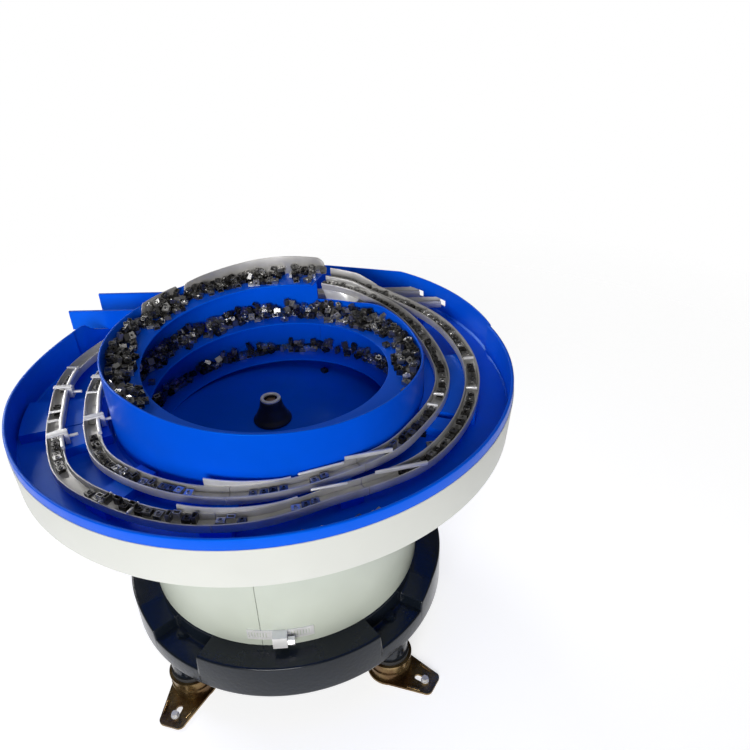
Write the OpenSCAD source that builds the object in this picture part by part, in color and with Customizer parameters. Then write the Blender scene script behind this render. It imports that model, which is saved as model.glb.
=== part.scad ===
// Vibratory bowl feeder: bowl and tray on a vibratory drive unit. Millimetres, +Z up.
// The bowl axis is X = Y = 0, the floor is Z = 0, and -Y is the front.

/* [Part to build] */
// Node to build, or all of them

/* [Base casting] */
// Outer radius of the cast base ring
base_r = 182; // [150:1:220]
// Height of the ring's underside above the floor
base_z0 = 57; // [40:1:80]
// Height of the ring's top face
base_z1 = 104; // [90:1:130]
// Radius of the boss that carries the shroud
boss_r = 151.4; // [140:0.1:160]
// Height of the boss
boss_z1 = 134; // [110:1:150]
// Thickness of the boss's wall round the hollow
boss_wall = 12.4; // [8:0.2:20]
// Thickness of the web under the drive
web_t = 15; // [10:1:25]
// Height of the pocket floors above the feet
pocket_z = 83; // [70:1:95]
// Turn of the first foot about the axis, degrees
foot_az = -40; // [-60:1:-20]
// Distance of the foot bolts outward from the raised boss
foot_out = 5.6; // [3:0.2:12]
// Radius of the cast boss over each foot
foot_boss_r = 20.4; // [15:0.1:26]
// Underside of the cast foot boss
foot_boss_z0 = 33; // [28:1:50]

/* [Feet] */
// Thickness of the stamped bracket
bracket_t = 2.5; // [1.5:0.1:4]
// Inner radius of the rubber cup
cup_r = 21.6; // [16:0.1:26]
// Wall of the cup
cup_t = 1.6; // [1:0.1:3]
// Height of the cup's lip
cup_h = 27; // [15:1:35]
// Distance from foot centre to bracket tip
bracket_len = 58; // [40:1:80]
// Half width of the bracket at its tip
tip_half_w = 15; // [8:0.5:20]
// Width of the fixing slot
slot_w = 7; // [4:0.5:10]
// Length of the fixing slot
slot_len = 17; // [10:0.5:30]
// Distance from foot centre to slot centre
slot_pos = 41; // [30:0.5:50]

/* [Shroud and band clamp] */
// Sheet thickness of the shroud
shroud_t = 1.5; // [1:0.1:3]
// Height of the shroud's top edge
shroud_z1 = 240; // [200:1:260]
// Width of the clamp band
band_w = 13; // [8:0.5:20]
// Height of the middle of the clamp band
band_z = 120.5; // [110:0.5:130]
// Azimuth of the clamp housing
clamp_az = -85.5; // [-100:0.5:-70]

/* [Drive inside the shroud] */
// Radius of the drive's top plate
plate_r = 146; // [120:1:150]
// Underside of the drive's top plate
plate_z0 = 243; // [220:1:250]
// Thickness of the top plate
plate_t = 15; // [10:1:20]
// Distance of the leaf packs inward from the hollow's wall
spring_in = 27; // [22:0.5:40]
// Lean of the leaf springs from upright, degrees
spring_lean = 18; // [10:1:25]
// Leaf width
leaf_w = 34; // [20:1:50]
// Leaf thickness
leaf_t = 3; // [1:0.5:5]
// Air gap between magnet and armature
air_gap = 2; // [1:0.1:4]
// Vibration amplitude about the axis, degrees
amplitude = 0.25; // [0.1:0.05:0.5]

/* [Bowl] */
// Inner radius of the bowl wall
bowl_r = 159; // [140:1:180]
// Sheet thickness of the bowl
sheet = 2.2; // [1.5:0.1:4]
// Height of the bowl floor at the wall
floor_z = 264; // [250:1:280]
// Rise of the bowl floor to its centre
floor_rise = 17; // [5:1:25]
// Width of the spiral ledge
ledge_w = 34; // [20:1:45]
// Height of the ledge where it leaves the floor, at the left
ledge_z0 = 266.6; // [255:0.1:280]
// Rise of the ledge per turn
pitch = 49.5; // [40:0.5:60]
// Turns of the ledge
turns = 2.2917; // [1:0.0001:3]
// Height of the bowl wall at its low start
wall_z_low = 352.5; // [340:1:370]
// Height of the bowl wall at its high end
wall_z_high = 386; // [370:1:410]
// Azimuth where the wall starts and ends
wall_az0 = 75; // [60:3:90]

/* [Tray] */
// Distance from the outer track's centre to the tray wall
tray_margin = 39.5; // [30:0.5:50]
// Height of the tray floor's top face
tray_z = 312; // [300:1:325]
// Height of the tray rim
rim_z = 347; // [330:1:360]
// How far the rim stands out past the tray wall
rim_out = 5; // [3:0.5:10]
// Height of the rim band
rim_h = 7; // [4:0.5:15]
// Bottom height of the skirt
skirt_z0 = 291; // [280:1:305]
// How far the bottom of the skirt stands in from the tray wall
skirt_in = 5; // [2:0.5:12]
// Height of the lowered wall at the hidden back left
low_z = 323; // [315:1:335]

/* [Tracks] */
// Centre of the inner track, outward from the bowl wall's inside
inner_off = 21; // [19:0.5:30]
// Centre of the outer track, outward from the centre of the inner one
outer_off = 30.5; // [28:0.5:36]
// Outside width of a track
track_w = 15; // [10:0.5:20]
// Height of the tops of a track's side walls above the tray floor
track_up = 18; // [14:1:28]
// Height of a track's side walls from its underside
track_h = 8; // [5:0.5:12]
// Sheet thickness of a track
track_t = 1.4; // [0.8:0.1:2]

/* [Workpieces] */
// Length of a loose workpiece
work_l = 11.5; // [6:0.5:16]
// Width of a loose workpiece
work_w = 10; // [5:0.5:12]
// Height of a loose workpiece
work_h = 6.2; // [4:0.1:8]

/* [Hidden] */
// clearances
fit = 0.05;
run = 0.3;
step = 3;
wall_ro = bowl_r + sheet;
foot_ring_r = boss_r + foot_out;
well_r = boss_r - boss_wall;
spring_r = well_r - spring_in;
track_z = tray_z + track_up;
inner_r = bowl_r + inner_off;
outer_r = inner_r + outer_off;
tray_r = outer_r + tray_margin;
rim_r = tray_r + rim_out;
skirt_r0 = tray_r - skirt_in;
ledge_r = bowl_r - ledge_w;
plate_z1 = plate_z0 + plate_t;
spot_z = pocket_z - 0.5;
floor_under = floor_z - sheet;
skirt_k = (rim_r - 1 - skirt_r0) / (rim_z - rim_h - skirt_z0);
tray_a0 = 18;
tray_a1 = 161;
seam = 0.3;
foot_azs = [foot_az, foot_az - 90, foot_az + 180, foot_az + 90];
bracket_azs = [-29, -106, 140, 50];
pockets = [[-52, -30], [-136, -114], [128, 150], [44, 66]];
leaf_azs = [5, 95, 185, 275];
leaf_mid = 158;
grey = [0.62, 0.62, 0.6];
blue = [0.02, 0.2, 0.8];
black = [0.05, 0.06, 0.09];
bronze = [0.55, 0.42, 0.2];
cream = [0.9, 0.9, 0.87];
pale = [0.8, 0.84, 0.77];
steel = [0.7, 0.7, 0.7];

// centreline of each track: azimuth (falling clockwise), distance from its named radius, height above track_z
inner_path = [[74, -24, 32], [62, -16, 28.5], [54, -8, 26], [44, 0, 20], [36, 1, 14.5],
    [24, 1, 6.5], [12, 1, 1.5], [0, 1, 0], [-10, -1.5, 0], [-28, -7.5, 0],
    [-42, -6.5, 0], [-54, -10, 0], [-64, -10.6, 0], [-73, -8, 0], [-91, -3, 0],
    [-105, -1, 0], [-120, 0, 0], [-136, 2.5, 0], [-142, 1, 0], [-147, -2, 0],
    [-163, -4, 0], [-178, 2, 0], [-186, 4, 0], [-210, 2, 0], [-240, 0.5, 0],
    [-270, 0, 0]];
outer_path = [[76, -18.5, 32], [66, -11.5, 29.5], [58, -5.5, 27], [50, 2.5, 21.5], [41, 3.5, 16],
    [36, 3.5, 13], [24, 3.5, 6.5], [12, 3.5, 1.5], [0, 1, 0], [-10, -1.5, 0],
    [-22, -3, 0], [-42, -4.5, 0], [-54, -11.5, 0], [-66, -16.5, 0], [-75, -11.5, 0],
    [-84, -4.5, 0], [-91, -1.5, 0], [-100, 1.5, 0], [-121, 2.5, 0], [-130, 5.5, 0],
    [-138, 6.5, 0], [-145, 2.5, 0], [-152, -0.5, 0], [-166, -1.5, 0], [-180, 5.5, 0],
    [-187, 8.5, 0], [-200, 6.5, 0], [-220, 2.5, 0], [-245, 0, 0], [-270, 0, 0]];
inner_rz = [for (q = inner_path) [q[0], inner_r + q[1], track_z + q[2]]];
outer_rz = [for (q = outer_path) [q[0], outer_r + q[1], track_z + q[2]]];

// ---- helpers ----
function lerp(a, b, f) = a + (b - a) * f;
function up_list(p) = [for (i = [len(p) - 1:-1:0]) p[i]];
function rad_at(p, a) = lookup(a, [for (q = up_list(p)) [q[0], q[1]]]);
function top_at(p, a) = lookup(a, [for (q = up_list(p)) [q[0], q[2]]]);
function polar(r, a, z) = [r * cos(a), r * sin(a), z];
function flat(l) = [for (a = l) for (b = a) b];

// ring segment of rectangular section
module arc_band(r0, r1, z0, z1, a0, a1)
    rotate([0, 0, a0]) rotate_extrude(angle = a1 - a0)
        translate([r0, z0]) square([r1 - r0, z1 - z0]);

// solid through a row of sections; caps lists the convex pieces of the end face
module loft(secs, caps) {
    n = len(secs);
    m = len(secs[0]);
    sides = [for (i = [0:n - 2]) for (j = [0:m - 1]) each [
        [i * m + j, (i + 1) * m + j, (i + 1) * m + (j + 1) % m],
        [i * m + j, (i + 1) * m + (j + 1) % m, i * m + (j + 1) % m]]];
    first = [for (c = caps) c];
    last = [for (c = caps) [for (k = [len(c) - 1:-1:0]) c[k] + (n - 1) * m]];
    polyhedron(points = flat(secs), faces = concat(sides, first, last));
}

// azimuths from a0 down to a1 on the common grid, both ends kept
function fan(a0, a1) = concat([a0],
    [for (a = [floor((a0 - 0.01) / step) * step:-step:a1 + 0.01]) a], [a1]);

// strip along a track path: radial offsets d0 to d1, heights e0 to e1 from the wall tops
module path_strip(p, a0, a1, d0, d1, e0, e1)
    loft([for (a = fan(a0, a1)) let (r = rad_at(p, a), z = top_at(p, a))
        [polar(r + d0, a, z + e0), polar(r + d1, a, z + e0), polar(r + d1, a, z + e1),
            polar(r + d0, a, z + e1)]], [[0, 1, 2, 3]]);

// U-shaped track along a path
module path_track(p, a0, a1, h = track_h) {
    w = track_w / 2;
    u = track_t;
    loft([for (a = fan(a0, a1)) let (r = rad_at(p, a), z = top_at(p, a))
        [polar(r - w, a, z - h), polar(r + w, a, z - h), polar(r + w, a, z), polar(r + w - u, a, z),
            polar(r + w - u, a, z - h + u), polar(r - w + u, a, z - h + u), polar(r - w + u, a, z),
            polar(r - w, a, z)]], [[0, 1, 4, 5], [1, 2, 3, 4], [0, 5, 6, 7]]);
}

// ---- base ----
gland_az = 90;
gland_z = 80;
module base_ring() color(black) difference() {
    union() {
        rotate_extrude() polygon([[20, base_z0], [base_r - 4, base_z0], [base_r, base_z0 + 4],
            [base_r, base_z1 - 3], [base_r - 3, base_z1], [boss_r, base_z1], [boss_r, boss_z1],
            [well_r, boss_z1], [well_r, base_z0 + web_t], [20, base_z0 + web_t]]);
        for (a = foot_azs) rotate([0, 0, a]) translate([foot_ring_r, 0, foot_boss_z0])
            cylinder(r = foot_boss_r, h = base_z0 + web_t - 2 - foot_boss_z0);
    }
    for (p = pockets) {
        arc_band(boss_r + 3, base_r + 20, pocket_z, base_z1 + 5, p[0], p[1]);
        ramp_end = p[0] == -136 || p[0] == 44;
        rotate([0, 0, ramp_end ? p[0] : p[1]]) translate([boss_r + 1.8, 0, 0]) rotate([90, 0, 90])
            linear_extrude(60) polygon(ramp_end
                ? [[1, base_z1 - 10], [1, base_z1 + 2.4], [-37.4, base_z1 + 2.4]]
                : [[-1, base_z1 - 10], [-1, base_z1 + 2.4], [37.4, base_z1 + 2.4]]);
    }
    for (a = foot_azs) rotate([0, 0, a]) translate([foot_ring_r, 0, 0]) {
        cylinder(r = 4.2, h = 120);
        translate([0, 0, spot_z]) cylinder(r = 9.5, h = base_z1 + 2 - spot_z);
    }
    rotate([0, 0, gland_az]) translate([150, 0, gland_z]) rotate([0, 90, 0]) cylinder(r = 8, h = 60);
    rotate([0, 0, gland_az]) translate([130, 0, gland_z]) rotate([0, 90, 0]) cylinder(r = 4, h = 60);
}

module foot_bracket(i) color(bronze)
    rotate([0, 0, foot_azs[i]]) translate([foot_ring_r, 0, 0]) rotate([0, 0, bracket_azs[i] - foot_azs[i]]) {
        difference() {
            union() {
                linear_extrude(bracket_t) {
                    circle(r = cup_r + 4.4);
                    polygon([[0, cup_r + 4.4], [0, -cup_r - 4.4], [bracket_len - 7, -tip_half_w],
                        [bracket_len - 7, tip_half_w]]);
                    for (s = [-1, 1]) translate([bracket_len - 7, s * (tip_half_w - 7)]) circle(r = 7);
                    translate([bracket_len - 7, -tip_half_w + 7]) square([7, 2 * tip_half_w - 14]);
                }
                rotate_extrude() polygon([[cup_r, 0], [cup_r + cup_t, 0], [cup_r + cup_t, 11],
                    [cup_r + cup_t + 1.3, 12], [cup_r + cup_t + 1.3, 15], [cup_r + cup_t, 16],
                    [cup_r + cup_t, cup_h - 2], [cup_r + cup_t + 1.6, cup_h - 1],
                    [cup_r + cup_t + 1.6, cup_h + 1], [cup_r, cup_h + 1]]);
                for (s = [-1, 1]) translate([31, s * 16.5, bracket_t - 0.2]) rotate([0, 0, -s * 11])
                    rotate([0, 90, 0]) cylinder(r = 1.6, h = 15);
            }
            translate([0, 0, -1]) linear_extrude(20) {
                translate([slot_pos - slot_len / 2 + slot_w / 2, 0]) circle(r = slot_w / 2);
                translate([slot_pos + slot_len / 2 - slot_w / 2, 0]) circle(r = slot_w / 2);
                translate([slot_pos - slot_len / 2 + slot_w / 2, -slot_w / 2])
                    square([slot_len - slot_w, slot_w]);
            }
        }
    }
module foot_bracket_1() foot_bracket(0);
module foot_bracket_2() foot_bracket(1);
module foot_bracket_3() foot_bracket(2);
module foot_bracket_4() foot_bracket(3);

module foot_rubber(i) color([0.06, 0.06, 0.06])
    rotate([0, 0, foot_azs[i]]) translate([foot_ring_r, 0, 0]) difference() {
        translate([0, 0, bracket_t + fit])
            cylinder(r = cup_r - fit, h = foot_boss_z0 - bracket_t - 2 * fit);
        translate([0, 0, 8]) cylinder(r = 4.2, h = 60);
    }
module foot_rubber_1() foot_rubber(0);
module foot_rubber_2() foot_rubber(1);
module foot_rubber_3() foot_rubber(2);
module foot_rubber_4() foot_rubber(3);

module foot_bolts() color(steel)
    for (a = foot_azs) rotate([0, 0, a]) translate([foot_ring_r, 0, 0]) {
        translate([0, 0, 8 + fit]) cylinder(r = 4, h = spot_z - 6);
        translate([0, 0, spot_z + fit]) cylinder(r = 8.4, h = 1.2);
        translate([0, 0, spot_z + fit]) cylinder(r = 6.6, h = 6, $fn = 6);
    }

module foot_screws() color(steel)
    for (i = [0:3]) rotate([0, 0, foot_azs[i]]) translate([foot_ring_r, 0, 0])
        rotate([0, 0, bracket_azs[i] - foot_azs[i]]) translate([slot_pos + 4, 0, 0]) {
            translate([0, 0, 0.1]) cylinder(r = 2.4, h = 5);
            translate([0, 0, bracket_t + fit]) cylinder(r = 4.6, h = 1.2);
            translate([0, 0, bracket_t + fit]) cylinder(r = 3.6, h = 5, $fn = 6);
        }

// ---- shroud and clamp ----
module shroud() color(pale) {
    arc_band(boss_r + fit, boss_r + fit + shroud_t, base_z1 + fit, shroud_z1, -93, 266.8);
    arc_band(boss_r + fit + shroud_t - 0.3, boss_r + fit + shroud_t + 0.5,
        band_z + band_w / 2 + 1, shroud_z1, -96, -93.4);
}
module clamp_band() color(steel) difference() {
    arc_band(boss_r + 2 * fit + shroud_t, boss_r + 2 * fit + shroud_t + 0.9, band_z - band_w / 2,
        band_z + band_w / 2, clamp_az - 13, clamp_az + 12.5);
    for (a = [each [clamp_az - 12.2:1.1:clamp_az - 5], each [clamp_az + 4:1.1:clamp_az + 11.6]])
        rotate([0, 0, a]) translate([boss_r, -0.5, band_z - 3.6]) cube([10, 1, 7.2]);
}
module clamp_housing() color(steel) rotate([0, 0, clamp_az]) difference() {
    translate([boss_r + shroud_t + 1.25, -8, band_z - 7.6]) cube([10, 14.5, 14.4]);
    translate([boss_r + shroud_t + 7, -20, band_z - 2.4]) rotate([-90, 0, 0]) cylinder(r = 3.4, h = 40);
}
module clamp_screw() color(steel) rotate([0, 0, clamp_az])
    translate([boss_r + shroud_t + 7, -7, band_z - 2.4]) rotate([-90, 0, 0]) {
        cylinder(r = 3.3, h = 16);
        difference() {
            translate([0, 0, 14]) cylinder(r = 4.6, h = 7, $fn = 6);
            translate([-6, -0.6, 19]) cube([12, 1.2, 5]);
        }
    }

// ---- drive ----
module magnet_stand() color([0.1, 0.1, 0.11])
    translate([-32, -30, base_z0 + web_t + fit]) cube([64, 60, 80]);
module magnet_core() color([0.35, 0.33, 0.3]) difference() {
    translate([-36, -25, base_z0 + web_t + 80 + 2 * fit]) cube([72, 50, 60]);
    for (s = [-1, 1]) translate([s * 18 - 7, -30, base_z0 + web_t + 100]) cube([14, 60, 60]);
}
module magnet_coil() color([0.5, 0.22, 0.08]) difference() {
    translate([-17.5, -31.5, base_z0 + web_t + 100 + fit]) cube([35, 63, 34]);
    translate([-11.2, -25.2, 100]) cube([22.4, 50.4, 200]);
}
module armature() color([0.35, 0.33, 0.3]) {
    z0 = base_z0 + web_t + 140 + 2 * fit + air_gap;
    translate([-36, -25, z0]) cube([72, 50, plate_z0 - fit - z0]);
}

// frame of one leaf pack: X along the leaf width, Y through the leaves, Z up the leaf
module leaf_frame(a) rotate([0, 0, a]) translate([spring_r, 0, leaf_mid])
    rotate([spring_lean, 0, 0]) children();
leaf_half = 72;
module spring_block(a, up) intersection() {
    leaf_frame(a) difference() {
        union() {
            translate([-leaf_w / 2, 6.1, up > 0 ? 45 : -110]) cube([leaf_w, 16, 65]);
            translate([-leaf_w / 2, -10.1, up * 58 - 12]) cube([leaf_w, 4, 24]);
        }
        translate([0, -30, up * 58]) rotate([-90, 0, 0]) cylinder(r = 5.3, h = 70);
    }
    translate([-200, -200, up > 0 ? 150 : base_z0 + web_t + fit])
        cube([400, 400, up > 0 ? plate_z0 - fit - 150 : 80]);
}
module spring_feet() color([0.12, 0.12, 0.13]) for (a = leaf_azs) spring_block(a, -1);
module spring_heads() color([0.12, 0.12, 0.13]) for (a = leaf_azs) spring_block(a, 1);
module spring_leaves() color([0.75, 0.6, 0.25])
    for (a = leaf_azs) leaf_frame(a) difference() {
        union() {
            for (k = [-1:1]) translate([-leaf_w / 2, k * 4.5 - leaf_t / 2, -leaf_half])
                cube([leaf_w, leaf_t, 2 * leaf_half]);
            for (u = [-1, 1]) translate([-leaf_w / 2, -6, u * 60 - 10]) cube([leaf_w, 12, 20]);
        }
        for (u = [-1, 1]) translate([0, -30, u * 58]) rotate([-90, 0, 0]) cylinder(r = 5.3, h = 70);
    }
module spring_bolt(a, u) leaf_frame(a) translate([0, 0, u * 58]) {
    translate([0, -18, 0]) rotate([-90, 0, 0]) cylinder(r = 5, h = 46);
    translate([0, -10.15 - 6, 0]) rotate([-90, 0, 0]) cylinder(r = 9, h = 6, $fn = 6);
    translate([0, 22.15, 0]) rotate([-90, 0, 0]) cylinder(r = 9, h = 6, $fn = 6);
}
module spring_bolts_lower() color(steel) for (a = leaf_azs) spring_bolt(a, -1);
module spring_bolts_upper() color(steel) for (a = leaf_azs) spring_bolt(a, 1);
module top_plate() color([0.5, 0.5, 0.52]) difference() {
    translate([0, 0, plate_z0]) cylinder(r = plate_r, h = plate_t);
    translate([0, 0, plate_z0 - 1]) cylinder(r = 4.3, h = plate_t + 2);
}

// ---- bowl ----
function floor_at(r) = floor_z + floor_rise * (1 - r / bowl_r);
module bowl_hub() color(black) rotate_extrude() polygon([[4.4, plate_z1 + fit], [75, plate_z1 + fit],
    [75, floor_at(75) - sheet - fit], [4.4, floor_at(4.4) - sheet - fit]]);
module bowl_floor() color(blue) rotate_extrude() polygon([[4.4, floor_at(4.4) - sheet],
    [bowl_r - 0.1, floor_at(bowl_r - 0.1) - sheet], [bowl_r - 0.1, floor_at(bowl_r - 0.1)],
    [4.4, floor_at(4.4)]]);

wall_heights = [[0, wall_z_low], [6, wall_z_low], [9, wall_z_low - 1], [18, wall_z_low - 3.7],
    [21, wall_z_low - 3.7], [24, wall_z_low], [60, wall_z_low], [100, wall_z_low + 11.5], [135, wall_z_low + 17],
    [161, wall_z_low + 23.5], [191, wall_z_high - 2], [204, wall_z_high + 1], [255, wall_z_high - 1],
    [280, wall_z_high - 2], [360, wall_z_high - 2]];
module bowl_wall() color(blue)
    loft([for (s = [for (k = [0:119]) k * step, 359.5]) let (a = wall_az0 - s, z = lookup(s, wall_heights))
        [polar(bowl_r, a, floor_z - 4), polar(wall_ro, a, floor_z - 4), polar(wall_ro, a, z),
            polar(bowl_r, a, z)]], [[0, 1, 2, 3]]);
function ledge_at(s) = ledge_z0 + pitch * s / 360;
module spiral_ledge() color(blue)
    loft([for (s = [4 * step:step:turns * 360]) let (a = 180 - s, z = ledge_at(s))
        [polar(ledge_r, a, max(z - 1.8, floor_at(ledge_r) + 0.03)), polar(bowl_r - 0.02, a, z - 1.8), polar(bowl_r - 0.02, a, z),
            polar(ledge_r, a, z)]], [[0, 1, 2, 3]]);

cone_top = 304.5;
module centre_cone() color([0.05, 0.05, 0.06]) rotate_extrude() polygon([
    [4.4, floor_at(4.4) + fit], [20.5, floor_at(20.5) + fit], [20.5, floor_at(20.5) + 1.5],
    [11.2, cone_top], [7.1, cone_top], [7.1, cone_top - 7], [4.4, cone_top - 7]]);
module cone_ring() color(steel) rotate_extrude() polygon([[7.2, cone_top + fit], [10.8, cone_top + fit],
    [10.8, cone_top + 1.6], [10.2, cone_top + 2.2], [7.2, cone_top + 2.2]]);
module centre_bolt() color([0.6, 0.4, 0.25]) {
    translate([0, 0, plate_z0 + 1]) cylinder(r = 4.2, h = cone_top - plate_z0 - 3);
    translate([0, 0, cone_top - 7 + fit]) cylinder(r = 6.6, h = 5, $fn = 6);
}

// curved steel plate standing inside the bowl wall
module wall_plate(a0, a1, low, high0, high1, curl)
    loft([for (a = fan(a0, a1)) let (s = 900 - a, f = (a0 - a) / (a0 - a1), r = bowl_r - 0.1,
            z0 = ledge_at(s) + low, z1 = lerp(high0, high1, f) - curl * pow(max(0, f - 0.88) / 0.12, 2))
        [polar(r - 1.6, a, z0), polar(r, a, z0), polar(r, a, z1), polar(r - 1.6, a, z1)]], [[0, 1, 2, 3]]);
module guide_plate_long() color(grey) wall_plate(132, 72, 0.1, wall_z_high, wall_z_high + 10, 9);
module guide_plate_short() color(grey) wall_plate(156, 135, 0.1, wall_z_high + 1.5, wall_z_high + 3, 4);

// ---- tray ----
bulge = [-8, 26];
panel_0 = [tray_r - 108, tray_r - 22.7];
panel_1 = [45, tray_r + 3];
panel_2 = [0, tray_r];
panel_a0 = atan2(panel_0[1], panel_0[0]);
panel_a1 = atan2(panel_1[1], panel_1[0]);
function cone_r(z) = skirt_r0 + skirt_k * (z - skirt_z0);
function unit(v) = v / norm(v);
// distance from the axis, along azimuth a, to a round wall off centre and to the line p q
function to_arc(c, r, a) = let (d = c[0] * cos(a) + c[1] * sin(a)) d + sqrt(r * r - c * c + d * d);
function to_line(p, q, a) = let (d = unit(q - p), n = [d[1], -d[0]]) (n * p) / (n * [cos(a), sin(a)]);
// inner face of the upright wall round the back of the tray
function back_rad(a) = a <= panel_a0 ? to_arc(bulge, tray_r + 1, a)
    : a <= panel_a1 ? to_line(panel_0, panel_1, a) : a < 90 ? to_line(panel_1, panel_2, a) : tray_r;
// azimuths all round, with both sides of the two seams and the panels' corners
rim_azs = concat([tray_a0], [for (a = [21:step:57]) a], [panel_a0], [for (a = [60:step:78]) a], [panel_a1],
    [for (a = [81:step:159]) a], [tray_a1, tray_a1 + seam], [for (a = [162:step:375]) a], [360 + tray_a0 - seam]);
function upright(a) = a <= tray_a1;
// closed ring through sections; other picks the other diagonal of each facet
module ring_loft(secs, other = false) {
    n = len(secs);
    m = len(secs[0]);
    polyhedron(points = flat(secs), faces = [for (i = [0:n - 1]) let (k = (i + 1) % n) for (j = [0:m - 1])
        let (a = i * m + j, b = i * m + (j + 1) % m, c = k * m + (j + 1) % m, d = k * m + j)
        each (other ? [[a, b, d], [b, c, d]] : [[a, b, c], [a, c, d]])]);
}
module exit_slot() translate([130, 169, 319]) cube([80, 54, 15]);

module tray_floor() color(blue) translate([0, 0, tray_z - 2]) linear_extrude(2) difference() {
    union() {
        circle(r = cone_r(tray_z - 2) - 2.7);
        intersection() {
            circle(r = tray_r - 0.2);
            polygon([[0, 0], [0, 300], [-300, 300], 300 / cos(tray_a1) * [-cos(tray_a1), -sin(tray_a1)]]);
        }
        intersection() {
            translate(bulge) circle(r = tray_r + 0.7);
            polygon([[0, 0], [tray_r * cos(tray_a0 + 0.2), tray_r * sin(tray_a0 + 0.2)], [330, 110],
                panel_0 + 100 * (panel_0 - panel_1) / norm(panel_0 - panel_1) - [0, 0.2],
                panel_1 - [0, 0.2], [0, tray_r - 0.2]]);
        }
    }
    circle(r = wall_ro + 0.1);
}
// everything above the lowered wall at the hidden back left, with its ramp
module low_cut() {
    translate([0, 0, low_z]) linear_extrude(60) polygon([[0, 0], 320 * [cos(102.5), sin(102.5)],
        320 * [cos(127), sin(127)], 320 * [cos(152.2), sin(152.2)]]);
    rotate([0, 0, 155.5]) translate([235, 0, 0]) rotate([90, 0, 90]) linear_extrude(40)
        polygon([[22, rim_z + 1], [-16, low_z + 2.4], [-16, rim_z + 1]]);
}
module tray_wall() color(blue) difference() {
    zb = tray_z - 2;
    zr = rim_z - rim_h;
    ring_loft([for (a = rim_azs) let (u = upright(a), r = back_rad(a), r0 = u ? r : cone_r(zb) - 2.5,
        r1 = u ? r : cone_r(zr) - 2.5, ro = u ? r + 4 : rim_r, ri = u ? r - 0.3 : rim_r - 4.5)
        [polar(r0, a, zb), polar(r0 + 1.25, a, zb), polar(r1 + 1.25, a, zr), polar(ro, a, zr), polar(ro, a, rim_z),
            polar(ri, a, rim_z), polar(ri, a, zr), polar(r1, a, zr)]]);
    low_cut();
    exit_slot();
}
module tray_skirt() color(cream) difference() {
    zb = tray_z - 2;
    zt = rim_z - rim_h - fit;
    ring_loft([for (a = rim_azs) let (u = upright(a), r = back_rad(a) + 1.3,
        r0 = u ? r : cone_r(skirt_z0) - 1.2, rb = u ? r : cone_r(zb) - 1.2, r1 = u ? r : cone_r(zt) - 1.2)
        [polar(r0, a, skirt_z0), polar(r0 + 1.2, a, skirt_z0), polar(r1 + 1.2, a, zt), polar(r1, a, zt),
            polar(rb, a, zb)]], true);
    low_cut();
    exit_slot();
}
module chute_plate(x0, x1, y, t) difference() {
    translate([x0, y, low_z + fit]) cube([x1 - x0, t, rim_z - low_z]);
    for (p = [inner_rz, outer_rz]) rotate([0, 0, 0])
        loft([for (a = fan(-181, -269)) let (r = rad_at(p, a))
            [polar(r - 9, a, 318), polar(r + 9, a, 318), polar(r + 9, a, 336), polar(r - 9, a, 336)]],
            [[0, 1, 2, 3]]);
}
module chute_plate_front() color(blue) chute_plate(-tray_r - 4, -wall_ro + 49.2, wall_ro - 30.2, 3);
module chute_plate_rear() color(blue) chute_plate(-tray_r + 16, -wall_ro + 101.2, inner_r - 2, 3);

// ---- tracks ----
track_low = track_z - track_h;
module entry_plate() color(grey) arc_band(bowl_r - 30, outer_r - 9.5, wall_z_low + fit, wall_z_low + 1.25, 67.2, 74.6);
module lane_dividers() color(grey) {
    arc_band(inner_r - 7.5, inner_r - 6.3, wall_z_low + 1.3, wall_z_low + 10, 67.5, 74);
    arc_band(144, 145.2, wall_z_low + 1.3, wall_z_low + 10, 67.5, 74);
    arc_band(198.5, 199.7, wall_z_low + 1.3, wall_z_low + 10, 67.5, 74);
}
module inner_track_right() color(grey) path_track(inner_rz, 67, -54);
module inner_track_front() color(grey) path_track(inner_rz, -54.2, -93);
module inner_track_left() color(grey) {
    path_track(inner_rz, -93.2, -270);
    exit_run(inner_r, 184);
}
module outer_track_right() color(grey) path_track(outer_rz, 67, -58);
module outer_track_front() color(grey) path_track(outer_rz, -58.2, -94);
module outer_track_left() color(grey) {
    path_track(outer_rz, -94.2, -270);
    exit_run(outer_r, 166);
}
module exit_run(y, x1) translate([0, y, track_low]) rotate([90, 0, 90]) linear_extrude(x1)
    polygon([[-track_w / 2, 0], [track_w / 2, 0], [track_w / 2, track_h], [track_w / 2 - track_t, track_h],
        [track_w / 2 - track_t, track_t], [-track_w / 2 + track_t, track_t],
        [-track_w / 2 + track_t, track_h], [-track_w / 2, track_h]]);
module front_guides() color([0.8, 0.8, 0.8]) {
    path_strip(inner_rz, -76, -99, -track_w / 2 - 1.3, -track_w / 2 - fit, -track_h, 6);
    path_strip(outer_rz, -78, -99, -track_w / 2 - 1.3, -track_w / 2 - fit, -track_h, 6);
}
module side_rails() color([0.75, 0.75, 0.75]) {
    path_strip(inner_rz, -149, -183, -track_w / 2, -track_w / 2 + 2.6, fit, 3.4);
    path_strip(outer_rz, -152, -186, -track_w / 2, -track_w / 2 + 2.6, fit, 3.4);
}
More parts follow.
